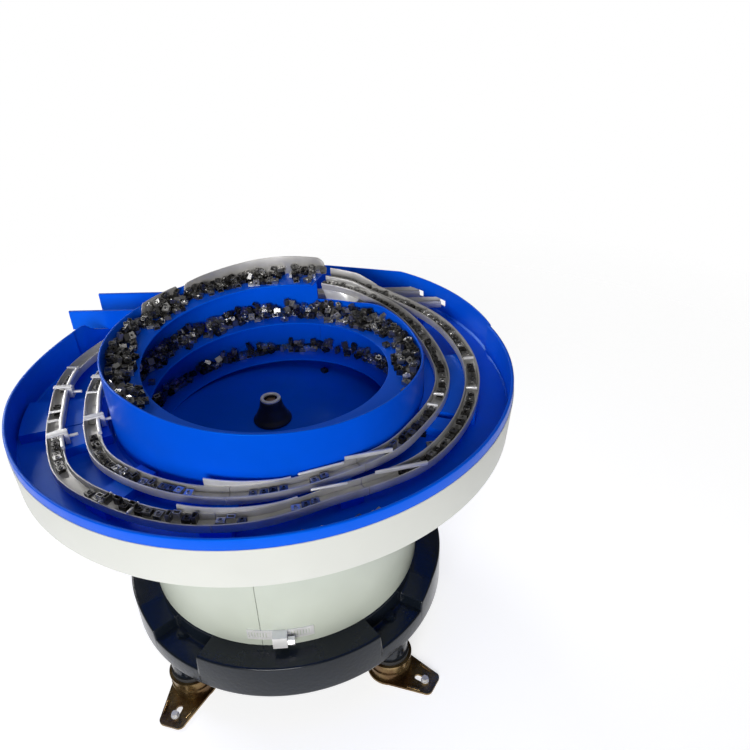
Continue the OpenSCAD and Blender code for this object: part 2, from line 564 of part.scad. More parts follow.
// a point at azimuth a, d outward from the centreline of track p
function beside(p, a, d) = let (r = rad_at(p, a) + d) [r * cos(a), r * sin(a)];
module deflector(e0, e1) {
    v = e1 - e0;
    l = norm(v);
    translate([e0[0], e0[1], track_z + fit]) rotate([0, 0, atan2(v[1], v[0])])
        linear_extrude(4.5) polygon([[0, -1.4], [l - 8, -1.4], [l, 0.4], [l, 1.4], [0, 1.4]]);
}
module deflector_strips() color([0.75, 0.75, 0.75]) {
    deflector(beside(inner_rz, -44.5, 6.8), beside(inner_rz, -57.9, -8));
    deflector(beside(outer_rz, -42.5, 8.8), beside(outer_rz, -54.3, -5.5));
}
module guide_rods() color([0.8, 0.8, 0.8]) {
    for (q = [[inner_rz, -73.4, -7.6, -58.9, -3.3], [outer_rz, -74, -10.1, -64.5, -4.1]])
        let (e = beside(q[0], q[1], q[2]), v = beside(q[0], q[3], q[4]) - e)
            translate([e[0], e[1], track_z + 1.25]) rotate([0, 0, atan2(v[1], v[0])])
                rotate([0, 90, 0]) cylinder(r = 1.2, h = norm(v));
}
module bar_at(p, a, w, d = 0.2) rotate([0, 0, a]) translate([rad_at(p, a) - track_w / 2 + d, -w / 2,
    top_at(p, a) + fit]) cube([track_w - 0.2 - d, w, 1.6]);
module cross_bars() color([0.85, 0.85, 0.85]) {
    for (a = [-13, -20, -187]) bar_at(inner_rz, a, 2.6);
    bar_at(inner_rz, -175, 2.6, 3.1);
    for (a = [9, -9, -121, -113]) bar_at(outer_rz, a, 2.6);
}
clamp_spots = [[0, -181, 4.6], [0, -164, 4.6], [1, -177, 7.6], [1, -163, 7.6]];
module strap_clamps() color([0.72, 0.72, 0.7])
    for (q = clamp_spots) let (p = q[0] == 0 ? inner_rz : outer_rz) rotate([0, 0, q[1]])
        translate([rad_at(p, q[1]) - track_w / 2 - q[2] - 0.9, -5, track_z - 7.6]) difference() {
            union() {
                cube([q[2], 10, 13]);
                translate([0, 0, 11.2]) cube([q[2] + 12, 10, 1.8]);
            }
            translate([-1, 5, 5]) rotate([0, 90, 0]) cylinder(r = 1.6, h = 30);
        }
module set_screws() color([0.8, 0.8, 0.78])
    for (q = clamp_spots) let (p = q[0] == 0 ? inner_rz : outer_rz) rotate([0, 0, q[1]])
        translate([rad_at(p, q[1]) - track_w / 2 - q[2] - 2.5, 0, track_z - 2.6]) rotate([0, 90, 0]) {
            cylinder(r = 1.5, h = q[2] + 2);
            cylinder(r = 3, h = 1.5);
        }
module track_supports() color(blue) {
    r0 = wall_ro + 0.4;
    arc_band(r0, outer_r + 6.5, tray_z + fit, track_low - fit, -17, 16);
    arc_band(r0, outer_r - 2.5, tray_z + fit, track_low - fit, -26, -20);
    arc_band(r0, inner_r + 20, tray_z + fit, track_low - fit, -65, -59);
    arc_band(r0, outer_r + 6.5, tray_z + fit, track_low - fit, -97, -90);
    arc_band(r0, outer_r + 9.5, tray_z + fit, track_low - fit, -127, -120);
    arc_band(r0, outer_r + 4.5, tray_z + fit, track_low - fit, -159.5, -149);
    arc_band(r0, tray_r - 7, tray_z + fit, track_low - fit, -174, -160);
    arc_band(r0, outer_r + 9.5, tray_z + fit, track_low - fit, 144, 149);
    arc_band(r0, outer_r + 9.5, tray_z + fit, track_low - fit, 96, 101);
}
module entry_posts() color(blue) {
    for (q = [[inner_rz, 40], [outer_rz, 40]]) rotate([0, 0, q[1]])
        translate([rad_at(q[0], q[1]), 0, tray_z + fit])
            cylinder(r = 4, h = top_at(q[0], q[1]) - track_h - 1.4 - tray_z);
}

// ---- workpieces ----
module work_piece() translate([-work_w / 2, -work_l / 2, 0]) difference() {
    cube([work_w, work_l, work_h]);
    translate([2, -1, 1.5]) cube([work_w - 4, work_l + 2, work_h - 3]);
}
lean = atan(pitch / (2 * PI * (bowl_r - 17)));
module on_ledge(s, r, turn) rotate([0, 0, 180 - s]) translate([r, 0, ledge_at(s) + 0.25])
    rotate([-lean, 0, 0]) rotate([0, 0, turn]) work_piece();
module in_track(p, a, e = 0) rotate([0, 0, a]) translate([rad_at(p, a), 0, track_low + track_t + 0.1 + e])
    work_piece();
module workpieces() color([0.3, 0.3, 0.3]) {
    for (s = [40:11:140]) on_ledge(s, bowl_r - 11, (s * 37) % 50 - 25);
    for (s = [395:9:575]) on_ledge(s, bowl_r - (s % 2 == 0 ? 12 : 10), (s * 53) % 60 - 30);
    for (s = [655:8:816]) on_ledge(s, bowl_r - (s % 2 == 0 ? 13 : 9), (s * 41) % 60 - 30);
    for (a = [-3, -8, -24, -29, -34, -39, -70, -79, -84, -106, -112, -126, -131, -141, -146, -215, -240])
        in_track(inner_rz, a);
    for (a = [-4, -15, -22, -27, -32, -37, -42, -74, -92, -98, -103, -106.5, -145, -148.5, -152, -216, -243])
        in_track(outer_rz, a);
    for (q = [[163, -97, 10], [98, -203, 30], [112, -197, 60], [84, -210, 100], [70, -216, 15]])
        translate([q[0], q[1], tray_z + 0.1]) rotate([0, 0, q[2]]) work_piece();
}

// ---- cable ----
cord_r = 3.4;
relief_r = base_r + 36;
floor_gap = 0.4;
drop_r = (gland_z - cord_r - floor_gap) / 2;
run_in = 28;
coil_r = 37.4;
coil_turns = 5 + 1 / 3;
coil_step = 2 * cord_r + 0.3;
plug_r = 8.6;
plug_lift = 6.5;
coil_start = relief_r + 2 * drop_r + run_in;
function coil_at(t) = let (
        c = polar(coil_start, gland_az, 0),
        m = c + coil_r * [sin(gland_az), -cos(gland_az), 0],
        a = gland_az + 90 - t,
        late = max(0, (t - 360 * coil_turns + 100) / 100))
    [m[0] + coil_r * cos(a), m[1] + coil_r * sin(a),
        cord_r + floor_gap + coil_step * t / 360 + plug_lift * late * late * (3 - 2 * late)];
cord_pts = concat(
    [for (d = [0, 17, 31]) polar(base_r + 5 + d, gland_az, gland_z)],
    [for (a = [15:15:90]) polar(relief_r + drop_r * sin(a), gland_az, gland_z - drop_r * (1 - cos(a)))],
    [for (a = [75:-15:0]) polar(relief_r + drop_r * (2 - sin(a)), gland_az, gland_z - drop_r * (1 + cos(a)))],
    [for (t = [0:30:360 * coil_turns]) coil_at(t)]);
module cable() color([0.04, 0.04, 0.04]) {
    n = len(cord_pts);
    m = 8;
    secs = [for (i = [0:n - 1]) let (a = cord_pts[max(0, i - 1)], b = cord_pts[min(n - 1, i + 1)], d = b - a,
        t = d / norm(d), v = abs(t[2]) > 0.99 ? polar(1, gland_az, 0) : [0, 0, 1], u0 = cross(t, v),
        u = u0 / norm(u0), w = cross(u, t))
        [for (k = [0:m - 1]) cord_pts[i] + cord_r * (cos(k * 360 / m) * u - sin(k * 360 / m) * w)]];
    loft(secs, [[for (k = [0:m - 1]) k]]);
}
module cable_gland() color([0.05, 0.05, 0.05]) rotate([0, 0, gland_az]) translate([base_r - 8, 0, gland_z])
    rotate([0, 90, 0]) difference() {
        union() {
            cylinder(r = 7.9, h = 12);
            translate([0, 0, 9]) cylinder(r = 10.5, h = 6, $fn = 6);
            translate([0, 0, 14]) cylinder(r = 8, h = 5);
            translate([0, 0, 18]) cylinder(r1 = 6.4, r2 = cord_r + 1, h = 26);
        }
        translate([0, 0, -1]) cylinder(r = cord_r + 0.1, h = 60);
    }
module cable_plug() color([0.05, 0.05, 0.05]) {
    n = len(cord_pts);
    e = cord_pts[n - 1];
    d = e - cord_pts[n - 2];
    translate(e) rotate([0, 0, atan2(d[1], d[0])]) rotate([0, 90 - atan2(d[2], norm([d[0], d[1]])), 0]) {
        translate([0, 0, 0.05]) cylinder(r = 7.2, h = 24);
        translate([0, 0, 24]) cylinder(r = plug_r, h = 12);
    }
}

base_ring();
foot_bracket_1();
foot_bracket_2();
foot_bracket_3();
foot_bracket_4();
foot_rubber_1();
foot_rubber_2();
foot_rubber_3();
foot_rubber_4();
foot_bolts();
foot_screws();
shroud();
clamp_band();
clamp_housing();
clamp_screw();
magnet_stand();
magnet_core();
magnet_coil();
armature();
spring_feet();
spring_heads();
spring_leaves();
spring_bolts_lower();
spring_bolts_upper();
top_plate();
bowl_hub();
bowl_floor();
bowl_wall();
spiral_ledge();
centre_cone();
cone_ring();
centre_bolt();
guide_plate_long();
guide_plate_short();
tray_floor();
tray_wall();
tray_skirt();
chute_plate_front();
chute_plate_rear();
entry_plate();
lane_dividers();
inner_track_right();
inner_track_front();
inner_track_left();
outer_track_right();
outer_track_front();
outer_track_left();
front_guides();
side_rails();
deflector_strips();
guide_rods();
cross_bars();
strap_clamps();
set_screws();
track_supports();
entry_posts();
workpieces();
cable();
cable_gland();
cable_plug();
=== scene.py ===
# %% [markdown]
# # Dressing a vibratory bowl feeder
# A bowl feeder is a round bowl that shakes in short twisting strokes. Small workpieces in it creep
# up a spiral ledge, tip over into two steel tracks, and leave in two neat rows. The rigid solids
# come from the CAD frame. Here the large sheets are made again as smooth surfaces with rolled
# edges, and every surface gets a finish that is mixed from procedural nodes.

# %% Load the frame
from math import cos, degrees, hypot, pi, radians, sin
import bmesh
import bpy
import numpy as np
from mathutils import Matrix


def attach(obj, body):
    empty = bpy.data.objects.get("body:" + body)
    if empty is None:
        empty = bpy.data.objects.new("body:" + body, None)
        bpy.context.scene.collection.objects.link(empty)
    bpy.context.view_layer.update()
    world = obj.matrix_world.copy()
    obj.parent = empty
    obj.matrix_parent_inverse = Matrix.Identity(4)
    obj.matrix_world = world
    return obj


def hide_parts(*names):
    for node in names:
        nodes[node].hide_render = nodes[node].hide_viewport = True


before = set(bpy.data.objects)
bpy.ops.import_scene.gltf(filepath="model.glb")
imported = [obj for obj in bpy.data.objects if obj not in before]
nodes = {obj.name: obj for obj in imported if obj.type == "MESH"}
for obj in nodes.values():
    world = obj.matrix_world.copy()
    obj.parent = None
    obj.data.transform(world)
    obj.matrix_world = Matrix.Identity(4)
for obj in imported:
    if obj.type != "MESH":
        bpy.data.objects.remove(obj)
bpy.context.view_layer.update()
MM = 0.001


def new_object(name, data):
    """Makes an object and puts it in the scene."""
    obj = bpy.data.objects.new(name, data)
    bpy.context.scene.collection.objects.link(obj)
    return obj


# %% [markdown]
# ## Camera
# The camera stands in front of the feeder and looks down into the bowl. Its three axes follow from
# how far it turns, tips down and leans, so no constraint is needed.

# %% Camera from a place and three angles
turned, tipped, leaned = np.radians([-1.57, 31.72, -1.87])
ahead = np.array([sin(turned) * cos(tipped), cos(turned) * cos(tipped), -sin(tipped)])
level = np.array([cos(turned), -sin(turned), 0.0])
upward = np.cross(level, ahead)
right = cos(leaned) * level + sin(leaned) * upward
top = cos(leaned) * upward - sin(leaned) * level
camera_place = (0.12856, -0.63536, 0.72481)
camera = new_object("camera", bpy.data.cameras.new("camera"))
camera.data.lens = 34.73
camera.data.sensor_width = 36.0
camera.data.clip_start = 0.01
camera.data.clip_end = 60.0
axes = [[right[i], top[i], -ahead[i], camera_place[i]] for i in range(3)]
camera.matrix_world = Matrix(axes + [[0, 0, 0, 1]])
bpy.context.scene.camera = camera
bpy.context.scene.view_settings.view_transform = "Standard"
print("camera at", [round(v, 3) for v in camera.matrix_world.translation])

# %% [markdown]
# ## Shader arithmetic
# A finish is mostly arithmetic on numbers that vary over the surface, such as a height or a noise.
# `Field` wraps one socket, so that `1 - mask * 0.3` adds the Math nodes by itself. `Finish` is one
# material: its `add` method makes any other node from its type, its settings and its inputs.


# %% A socket that can be calculated with
class Field:
    """A number that varies over the surface. Arithmetic on it adds one Math node per operation."""

    def __init__(self, finish, socket):
        self.finish, self.socket = finish, socket

    def maths(self, operation, *others):
        """The result of a Math node fed with others."""
        node = self.finish.add("Math", {"operation": operation}, dict(enumerate(others)))
        return Field(self.finish, node.outputs[0])

    def __add__(self, other):
        return self.maths("ADD", self, other)

    def __sub__(self, other):
        return self.maths("SUBTRACT", self, other)

    def __rsub__(self, other):
        return self.maths("SUBTRACT", other, self)

    def __mul__(self, other):
        return self.maths("MULTIPLY", self, other)

    def __pow__(self, other):
        return self.maths("POWER", self, other)

    def clipped(self, low, high):
        """0 below low, 1 above high, and a straight ramp between."""
        ends = {0: self, 1: low, 2: high, 3: 0.0, 4: 1.0}
        node = self.finish.add("MapRange", {"clamp": True}, ends)
        return Field(self.finish, node.outputs[0])


# %% A material under construction
class Finish:
    """One material. Its shader is a Principled BSDF, reached by the set method."""

    def __init__(self, name, **fixed):
        self.material = bpy.data.materials.new(name)
        self.material.use_nodes = True
        self.tree = self.material.node_tree
        self.shader = self.tree.nodes["Principled BSDF"]
        self.set(**fixed)

    def add(self, kind, settings=None, inputs=None):
        """Makes a node, applies its settings, a ramp's stops among them, and feeds its inputs."""
        node = self.tree.nodes.new("ShaderNode" + kind)
        for key, value in (settings or {}).items():
            if key == "stops":
                ramp = node.color_ramp.elements
                while len(ramp) < len(value):
                    ramp.new(0.5)
                for element, (place, colour) in zip(ramp, value):
                    element.position, element.color = place, (*colour, 1.0)
            else:
                setattr(node, key, value)
        for key, value in (inputs or {}).items():
            self.feed(node.inputs[key], value)
        return node

    def feed(self, socket, value):
        """Links a field or a socket to the input, or else sets the input's own value."""
        if isinstance(value, Field):
            value = value.socket
        if isinstance(value, bpy.types.NodeSocket):
            self.tree.links.new(value, socket)
        elif isinstance(value, tuple) and len(value) == 3 and socket.type == "RGBA":
            socket.default_value = (*value, 1.0)
        else:
            socket.default_value = value

    def set(self, **values):
        """Sets inputs of the shader by name: base_color for Base Color, and so on."""
        for key, value in values.items():
            name = "Specular IOR Level" if key == "specular" else key.replace("_", " ").title()
            self.feed(self.shader.inputs[name], value)

    def place(self):
        """The point's own place in metres: x, y, z and the distance from the bowl's axis."""
        where = self.add("TexCoord").outputs["Object"]
        apart = self.add("SeparateXYZ", None, {0: where})
        x, y, z = (Field(self, apart.outputs[i]) for i in range(3))
        return where, x, y, z, (x * x + y * y) ** 0.5

    def noise(self, vector, scale, detail=3.0, rough=0.55):
        """Cloudy noise from 0 to 1, with scale clouds in a unit of the vector."""
        inputs = {"Vector": vector, "Scale": scale, "Detail": detail, "Roughness": rough}
        return Field(self, self.add("TexNoise", None, inputs).outputs[0])

    def around(self, per_turn, per_metre):
        """Rolls the surface flat into one vector: turn about the axis, distance from it, and height."""
        _, x, y, z, r = self.place()
        turn = x.maths("ARCTAN2", y, x)
        parts = {0: turn * per_turn, 1: r * per_metre, 2: z * per_metre}
        return self.add("CombineXYZ", None, parts).outputs[0]

    def mix(self, share, a, b):
        """Colour a where share is 0 and b where it is 1."""
        node = self.add("Mix", {"data_type": "RGBA"}, {0: share, 6: a, 7: b})
        return node.outputs[2]

    def bump(self, height, distance):
        """Tilts the normal as if the surface rose by distance, in metres, where height is 1."""
        inputs = {"Height": height, "Distance": distance, "Strength": 1.0}
        self.feed(self.shader.inputs["Normal"], self.add("Bump", None, inputs).outputs[0])


def shaded(colour, by):
    """The colour with each of its shares times by, at most 1."""
    return tuple(min(1, c * by) for c in colour)


# %% [markdown]
# ## Painted finishes
# The bowl and tray are blasted and coated with blue polyurethane, which is a little rubbery: the
# colour is even, the gloss is broad, and close up the skin has an orange-peel texture. The drive is
# a glossy black casting with a cast texture under its paint. The skirt and shroud are plain paint.


# %% Paints
def paint(name, colour, rough, peel, peel_size, cloud=0.06, coat=0.0, tint=(1, 1, 1), specular=0.5):
    """A paint whose colour drifts by the share cloud. Its texture is peel deep and peel_size wide, in
    metres, and tint colours its gloss."""
    f = Finish(name, coat_weight=coat, coat_roughness=0.08, specular_tint=tint, specular=specular)
    where, *_ = f.place()
    drift = f.noise(where, 14.0).clipped(0.3, 0.7)
    f.set(base_color=f.mix(drift, shaded(colour, 1 - cloud), shaded(colour, 1 + cloud)))
    f.set(roughness=f.noise(where, 60.0) * 0.12 + (rough - 0.06))
    f.bump(f.noise(where, 1.0 / peel_size, 2.0), peel)
    return f.material


blue_coat = paint("blue_polyurethane_coat", (0.0004, 0.104, 0.82), 0.34, 0.00006, 0.0016,
                  tint=(0.02, 0.46, 0.9))
cream_paint = paint("cream_paint", (0.69, 0.7, 0.655), 0.38, 0.00004, 0.002, 0.02)
pale_paint = paint("pale_green_grey_paint", (0.55, 0.59, 0.5), 0.4, 0.00004, 0.002, 0.04)
black_cast = paint("black_casting_paint", (0.006, 0.009, 0.014), 0.2, 0.00025, 0.004, 0.2, 0.12,
                   specular=0.25)
dark_paint = paint("dark_grey_block_paint", (0.05, 0.05, 0.056), 0.4, 0.00005, 0.001, 0.1)
print("paints made")

# %% [markdown]
# ## Metals
# Steel sheet that was rolled and wiped has fine lines along its length, so the noise is stretched
# round the axis. The foot brackets are yellow passivated, which gives patches of gold, olive and
# brown. The workpieces take their tone from an attribute, so each one is a little different.


# %% Steel
def steel(name, tone, rough, metal=1.0):
    """Bare steel with fine lines round the axis, 0.02 mm deep, and patches of different gloss. A dusty
    sheet is less metallic."""
    f = Finish(name, metallic=metal)
    where, *_ = f.place()
    fine = f.noise(f.around(3.0, 2600.0), 1.0, 2.0)
    patch = f.noise(where, 45.0)
    f.set(base_color=f.mix(patch.clipped(0.35, 0.7), shaded(tone, 0.8), tone))
    f.set(roughness=fine * 0.16 + patch * 0.12 + (rough - 0.14))
    f.bump(fine, 0.00002)
    return f.material


track_steel = steel("track_stainless", (0.66, 0.645, 0.62), 0.4, 0.5)
bright_steel = steel("bright_steel", (0.94, 0.93, 0.91), 0.34, 0.4)
plate_steel = steel("guide_plate_steel", (0.55, 0.535, 0.51), 0.42, 0.5)


# %% Passivated steel, copper and brass tones
def passivated(name, stops, rough):
    """Plated steel whose tint wanders between the colours of the stops."""
    f = Finish(name, metallic=0.9)
    where, *_ = f.place()
    wander = f.noise(where, 34.0, 4.0, 0.6)
    ramp = f.add("ValToRGB", {"stops": stops}, {0: wander.clipped(0.25, 0.75)})
    f.set(base_color=ramp.outputs[0])
    f.set(roughness=f.noise(where, 220.0) * 0.2 + (rough - 0.1))
    f.bump(f.noise(where, 700.0), 0.00003)
    return f.material


gold_stops = [(0.0, (0.055, 0.028, 0.013)), (0.35, (0.15, 0.085, 0.034)), (0.6, (0.24, 0.165, 0.07)),
              (1.0, (0.5, 0.34, 0.16))]
bracket_gold = passivated("yellow_passivated_steel", gold_stops, 0.28)
copper_nut = passivated("coppery_plated_steel", [(0.0, (0.2, 0.12, 0.08)), (1.0, (0.62, 0.42, 0.3))], 0.32)
winding = passivated("varnished_copper_winding", [(0.0, (0.2, 0.06, 0.02)), (1.0, (0.4, 0.15, 0.06))], 0.35)


# %% Stamped workpieces
def stamped(name):
    """Dark stamped metal. The attribute tone runs from 0, nearly black, to 1, bright."""
    f = Finish(name, metallic=0.95)
    where, *_ = f.place()
    tone = Field(f, f.add("Attribute", {"attribute_name": "tone"}).outputs["Fac"])
    smudge = f.noise(where, 420.0)
    share = (tone * 0.8 + smudge * 0.3).clipped(0.1, 1.0)
    f.set(base_color=f.mix(share, (0.045, 0.042, 0.04), (0.8, 0.79, 0.77)))
    f.set(roughness=smudge * 0.25 + 0.2)
    f.bump(smudge, 0.00004)
    return f.material


work_metal = stamped("stamped_workpiece_metal")


# %% Rubber, plastics, laminations and laminate
def moulded(name, colour, rough, grain, grain_size):
    """A moulded surface: one colour, with grain of the given height and size in metres."""
    f = Finish(name)
    where, *_ = f.place()
    cloud = f.noise(where, 1.0 / grain_size)
    f.set(base_color=f.mix(cloud, shaded(colour, 0.8), shaded(colour, 1.2)))
    f.set(roughness=cloud * 0.16 + (rough - 0.08))
    f.bump(cloud, grain)
    return f.material


def layered(name, a, b, step, rough, metal):
    """Thin layers stacked along x, such as core sheets or a laminate."""
    f = Finish(name, metallic=metal, roughness=rough)
    where, x, *_ = f.place()
    wave = x * (2 * pi / step)
    bands = wave.maths("SINE", wave) * 0.5 + 0.5
    f.set(base_color=f.mix(bands * 0.8 + f.noise(where, 90.0) * 0.2, a, b))
    f.bump(bands, 0.00005)
    return f.material


rubber = moulded("black_rubber", (0.022, 0.022, 0.022), 0.62, 0.00005, 0.0012)
plastic = moulded("black_moulding", (0.02, 0.021, 0.024), 0.36, 0.00003, 0.0009)
sheath = moulded("cable_sheath", (0.018, 0.018, 0.019), 0.42, 0.00003, 0.0012)
core_sheets = layered("core_laminations", (0.16, 0.15, 0.14), (0.36, 0.34, 0.31), 0.0012, 0.45, 0.8)
glass_fibre = layered("glass_fibre_laminate", (0.5, 0.38, 0.13), (0.75, 0.6, 0.28), 0.0016, 0.5, 0.0)
machined = steel("machined_aluminium", (0.62, 0.62, 0.64), 0.34)
print(len(bpy.data.materials), "materials in the file")

# %% [markdown]
# ## One way to make every sheet
# Almost every part of a bowl feeder is a strip of sheet metal bent round the same axis. So each is
# made as a cross-section of radius and height, carried round by azimuth. A sharp corner never
# catches the light the way a real folded or ground edge does, so `soften` swaps each corner p of
# the cross-section for the curve (1-f)^2 a + 2f(1-f) p + f^2 b, where a and b lie a little way
# along its two sides.


# %% Sections carried round the axis
def soften(poly, reach, steps=3):
    """Rounds the corners of closed sections, an array (..., corners, 2), by reach in mm. steps is the
    number of pieces in each curve. A corner's reach is at most 45% of its shorter side."""
    poly = np.asarray(poly, float)
    back, on = np.roll(poly, 1, -2) - poly, np.roll(poly, -1, -2) - poly
    far_back, far_on = np.linalg.norm(back, axis=-1), np.linalg.norm(on, axis=-1)
    cut = np.minimum(reach, 0.45 * np.minimum(far_back, far_on))[..., None]
    a = poly + back / np.maximum(far_back, 1e-9)[..., None] * cut
    b = poly + on / np.maximum(far_on, 1e-9)[..., None] * cut
    f = np.linspace(0, 1, steps + 1)[:, None]
    curve = a[..., None, :] * (1 - f) ** 2 + poly[..., None, :] * (2 * f * (1 - f)) + b[..., None, :] * f ** 2
    return curve.reshape(*poly.shape[:-2], -1, 2)


def finish_mesh(name, verts, faces, material, body, stands_for, sharp):
    """Makes an object from vertices in mm and faces, with outward normals, and hands it to its body."""
    mesh = bpy.data.meshes.new(name)
    mesh.from_pydata((np.asarray(verts, float) * MM).tolist(), [], faces)
    work = bmesh.new()
    work.from_mesh(mesh)
    bmesh.ops.remove_doubles(work, verts=work.verts, dist=1e-7)
    bmesh.ops.recalc_face_normals(work, faces=work.faces)
    work.to_mesh(mesh)
    work.free()
    mesh.shade_smooth()
    mesh.set_sharp_from_angle(angle=radians(sharp))
    mesh.materials.append(material)
    obj = new_object(name, mesh)
    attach(obj, body)
    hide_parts(*stands_for)
    return obj


def grid_faces(nu, nv, ring_u, ring_v, start=0):
    """Quads of a grid of nu rows of nv points. ring_u and ring_v join the last row or point to the first."""
    u = np.arange(nu if ring_u else nu - 1)[:, None]
    v = np.arange(nv if ring_v else nv - 1)[None, :]
    this, next_ = u % nu * nv, (u + 1) % nu * nv
    corners = [this + v % nv, this + (v + 1) % nv, next_ + (v + 1) % nv, next_ + v % nv]
    return (np.stack(corners, -1).reshape(-1, 4) + start).tolist()


def turned_points(section, azimuth):
    """Places sections (rows, points, 2) of radius r and height z at azimuths a: (r cos a, r sin a, z)."""
    a = np.radians(np.asarray(azimuth, float))[:, None]
    section = np.broadcast_to(section, (len(azimuth), *np.shape(section)[-2:]))
    return np.stack([section[..., 0] * np.cos(a), section[..., 0] * np.sin(a), section[..., 1]], -1)


def rolled(section, azimuth, reach=0.5, steps=3):
    """Softened sections, placed at their azimuths."""
    return turned_points(soften(section, reach, steps), azimuth)


def swept(name, rows, material, stands_for, body="bowl", ring=False, sharp=38.0):
    """A closed solid from one row of points per station, or from a list of such runs. It has flat ends
    unless it is a ring."""
    runs = rows if isinstance(rows, list) else [rows]
    verts, faces = [], []
    for run in runs:
        start, (nu, nv, _) = len(verts), run.shape
        faces += grid_faces(nu, nv, ring, True, start)
        if not ring:
            near, far = range(start + nv - 1, start - 1, -1), range(start + (nu - 1) * nv, start + nu * nv)
            faces += [list(near), list(far)]
        verts += run.reshape(-1, 3).tolist()
    return finish_mesh(name, verts, faces, material, body, stands_for, sharp)


def lathe(name, section, material, stands_for, reach):
    """A full turn of one closed section of radius and height."""
    swept(name, rolled(section, np.arange(0, 360, 5.0), reach), material, stands_for, ring=True)


# %% [markdown]
# ## The mains cable
# The drive's lead leaves the back of the casting through a gland with a tapered sleeve, drops to
# the floor in two quarter bends, and lies behind the feeder in a small stacked coil.

# %% Cable path and tube
cord_r, gland_z, relief_y = 3.4, 80.0, 218.0
lie_z = cord_r + 0.4
drop = (gland_z - lie_z) / 2
quarter = np.radians(np.arange(5, 91, 5))
levelling = quarter[-2::-1]
out = np.concatenate([np.arange(187, 218.1, 3.1), relief_y + drop * np.sin(quarter),
                      relief_y + drop * (2 - np.sin(levelling))])
down = np.concatenate([np.full(11, gland_z), gland_z - drop * (1 - np.cos(quarter)),
                       gland_z - drop * (1 + np.cos(levelling))])
straight = np.stack([0 * out, out, down], 1)
landing_y = relief_y + 2 * drop
flat_run = np.array([[0, landing_y + on, lie_z] for on in (0, 9, 18)])
coil_r, coil_y, per_turn = 37.4, landing_y + 28, 7.1
turn = np.arange(0, 1921, 6.0)
lift = np.clip((turn - 1820) / 100, 0, 1)
coil_a = np.radians(180 - turn)
coil_z = lie_z + per_turn * turn / 360 + 6.5 * lift ** 2 * (3 - 2 * lift)
coil = np.stack([coil_r + coil_r * np.cos(coil_a), coil_y + coil_r * np.sin(coil_a), coil_z], 1)
cord_path = np.concatenate([straight, flat_run, coil])


def tube_rows(path, radius, sides=12):
    """A round section at each point of a path. Its side direction is the last one with the path's own
    direction taken out."""
    forward = np.gradient(path, axis=0)
    forward /= np.linalg.norm(forward, axis=1)[:, None]
    side, found = np.array([1.0, 0.0, 0.0]), []
    for t in forward:
        side = side - t * (side @ t)
        side = side / np.linalg.norm(side)
        found.append(side)
    side = np.array(found)
    other = np.cross(forward, side)
    k = np.linspace(0, 2 * np.pi, sides, endpoint=False)[None, :, None]
    return path[:, None] + radius * (np.cos(k) * side[:, None] + np.sin(k) * other[:, None])


cable = swept("cable_sheathed", tube_rows(cord_path, cord_r), sheath, ["cable"], "base")

# %% [markdown]
# ## Bowl
# The bowl is rolled from 2.2 mm sheet. Its wall starts low at the back right, where the workpieces
# leave, and climbs round to its full height. The spiral ledge is a second strip, welded to the
# inside. A small painted fillet of weld runs along each joint, and its soft highlight is what
# tells the eye that two sheets meet.

# %% Bowl wall, ledge and floor
bowl_r, sheet, floor_z, floor_rise, ledge_r = 159.0, 2.2, 264.0, 17.0, 125.0
wall_low, wall_high = 352.5, 386.0
climb = np.array([[0, 346], [13, 348.5], [19, 350.5], [24, 354], [32, 357.5], [42, 356], [52, 354.3],
                  [62, wall_low], [100, wall_low + 11.5], [135, wall_low + 17], [161, wall_low + 23.5],
                  [191, wall_high - 2], [204, wall_high + 1], [255, wall_high - 1],
                  [280, wall_high - 2], [360, wall_high - 2]])


def eased(table, column, at, width=4.0):
    """A column of a table read at places at, and averaged over a window of the given half width, so that
    it has no kinks."""
    order = np.argsort(table[:, 0])
    shifts = np.linspace(-width, width, 9)[:, None]
    return np.interp(np.asarray(at) + shifts, table[order, 0], table[order, column]).mean(0)


def in_left(az, most=4.3):
    """How far the bowl is drawn in at its left, in mm: 0 at the front, right and back, and the most at
    azimuth 180 degrees."""
    return most * np.maximum(0, -np.cos(np.radians(az))) ** 1.5


def floor_at(r):
    """Height of the bowl's floor, a shallow cone, at radius r."""
    return floor_z + floor_rise * (1 - r / bowl_r)


def ledge_at(s):
    """Height of the ledge's top after s degrees of climb, at 49.5 mm a turn."""
    return 266.6 + 49.5 * s / 360


def corners_of(*corners):
    """Sections from corners of radius and height; either may be an array with one value per station."""
    flat = np.broadcast_arrays(*[value for corner in corners for value in corner])
    return np.stack(flat, -1).reshape(*flat[0].shape, len(corners), 2)


def boxes(r0, r1, z0, z1):
    """Rectangular sections of radius and height, one per station."""
    return corners_of((r0, z0), (r1, z0), (r1, z1), (r0, z1))


s = np.linspace(0, 359.9, 361)
wall_top = eased(climb, 1, s, 2.0)
wall_r = bowl_r - in_left(75 - s)
wall_rows = rolled(boxes(wall_r, wall_r + sheet, 260, wall_top), 75 - s, 1.0, 4)
swept("bowl_wall_sheet", wall_rows, blue_coat, ["bowl_wall"])

s = np.arange(8, 829.6, 2.0)
z = ledge_at(s)
r_out, r_in = bowl_r + 0.3 - in_left(180 - s), ledge_r - in_left(180 - s, 2.6)
inner_low = np.maximum(z - 1.8, floor_at(ledge_r) + 0.03)
strip = corners_of((r_in, inner_low), (r_out, z - 1.8), (r_out, z), (r_in, z))
fillet = corners_of((r_out, z - 0.3), (r_out, z + 2.4), (r_out - 2.4, z - 0.3))
ledge_rows = [rolled(strip, 180 - s, 0.8), turned_points(fillet, 180 - s)]
swept("spiral_ledge_strip", ledge_rows, blue_coat, ["spiral_ledge"])

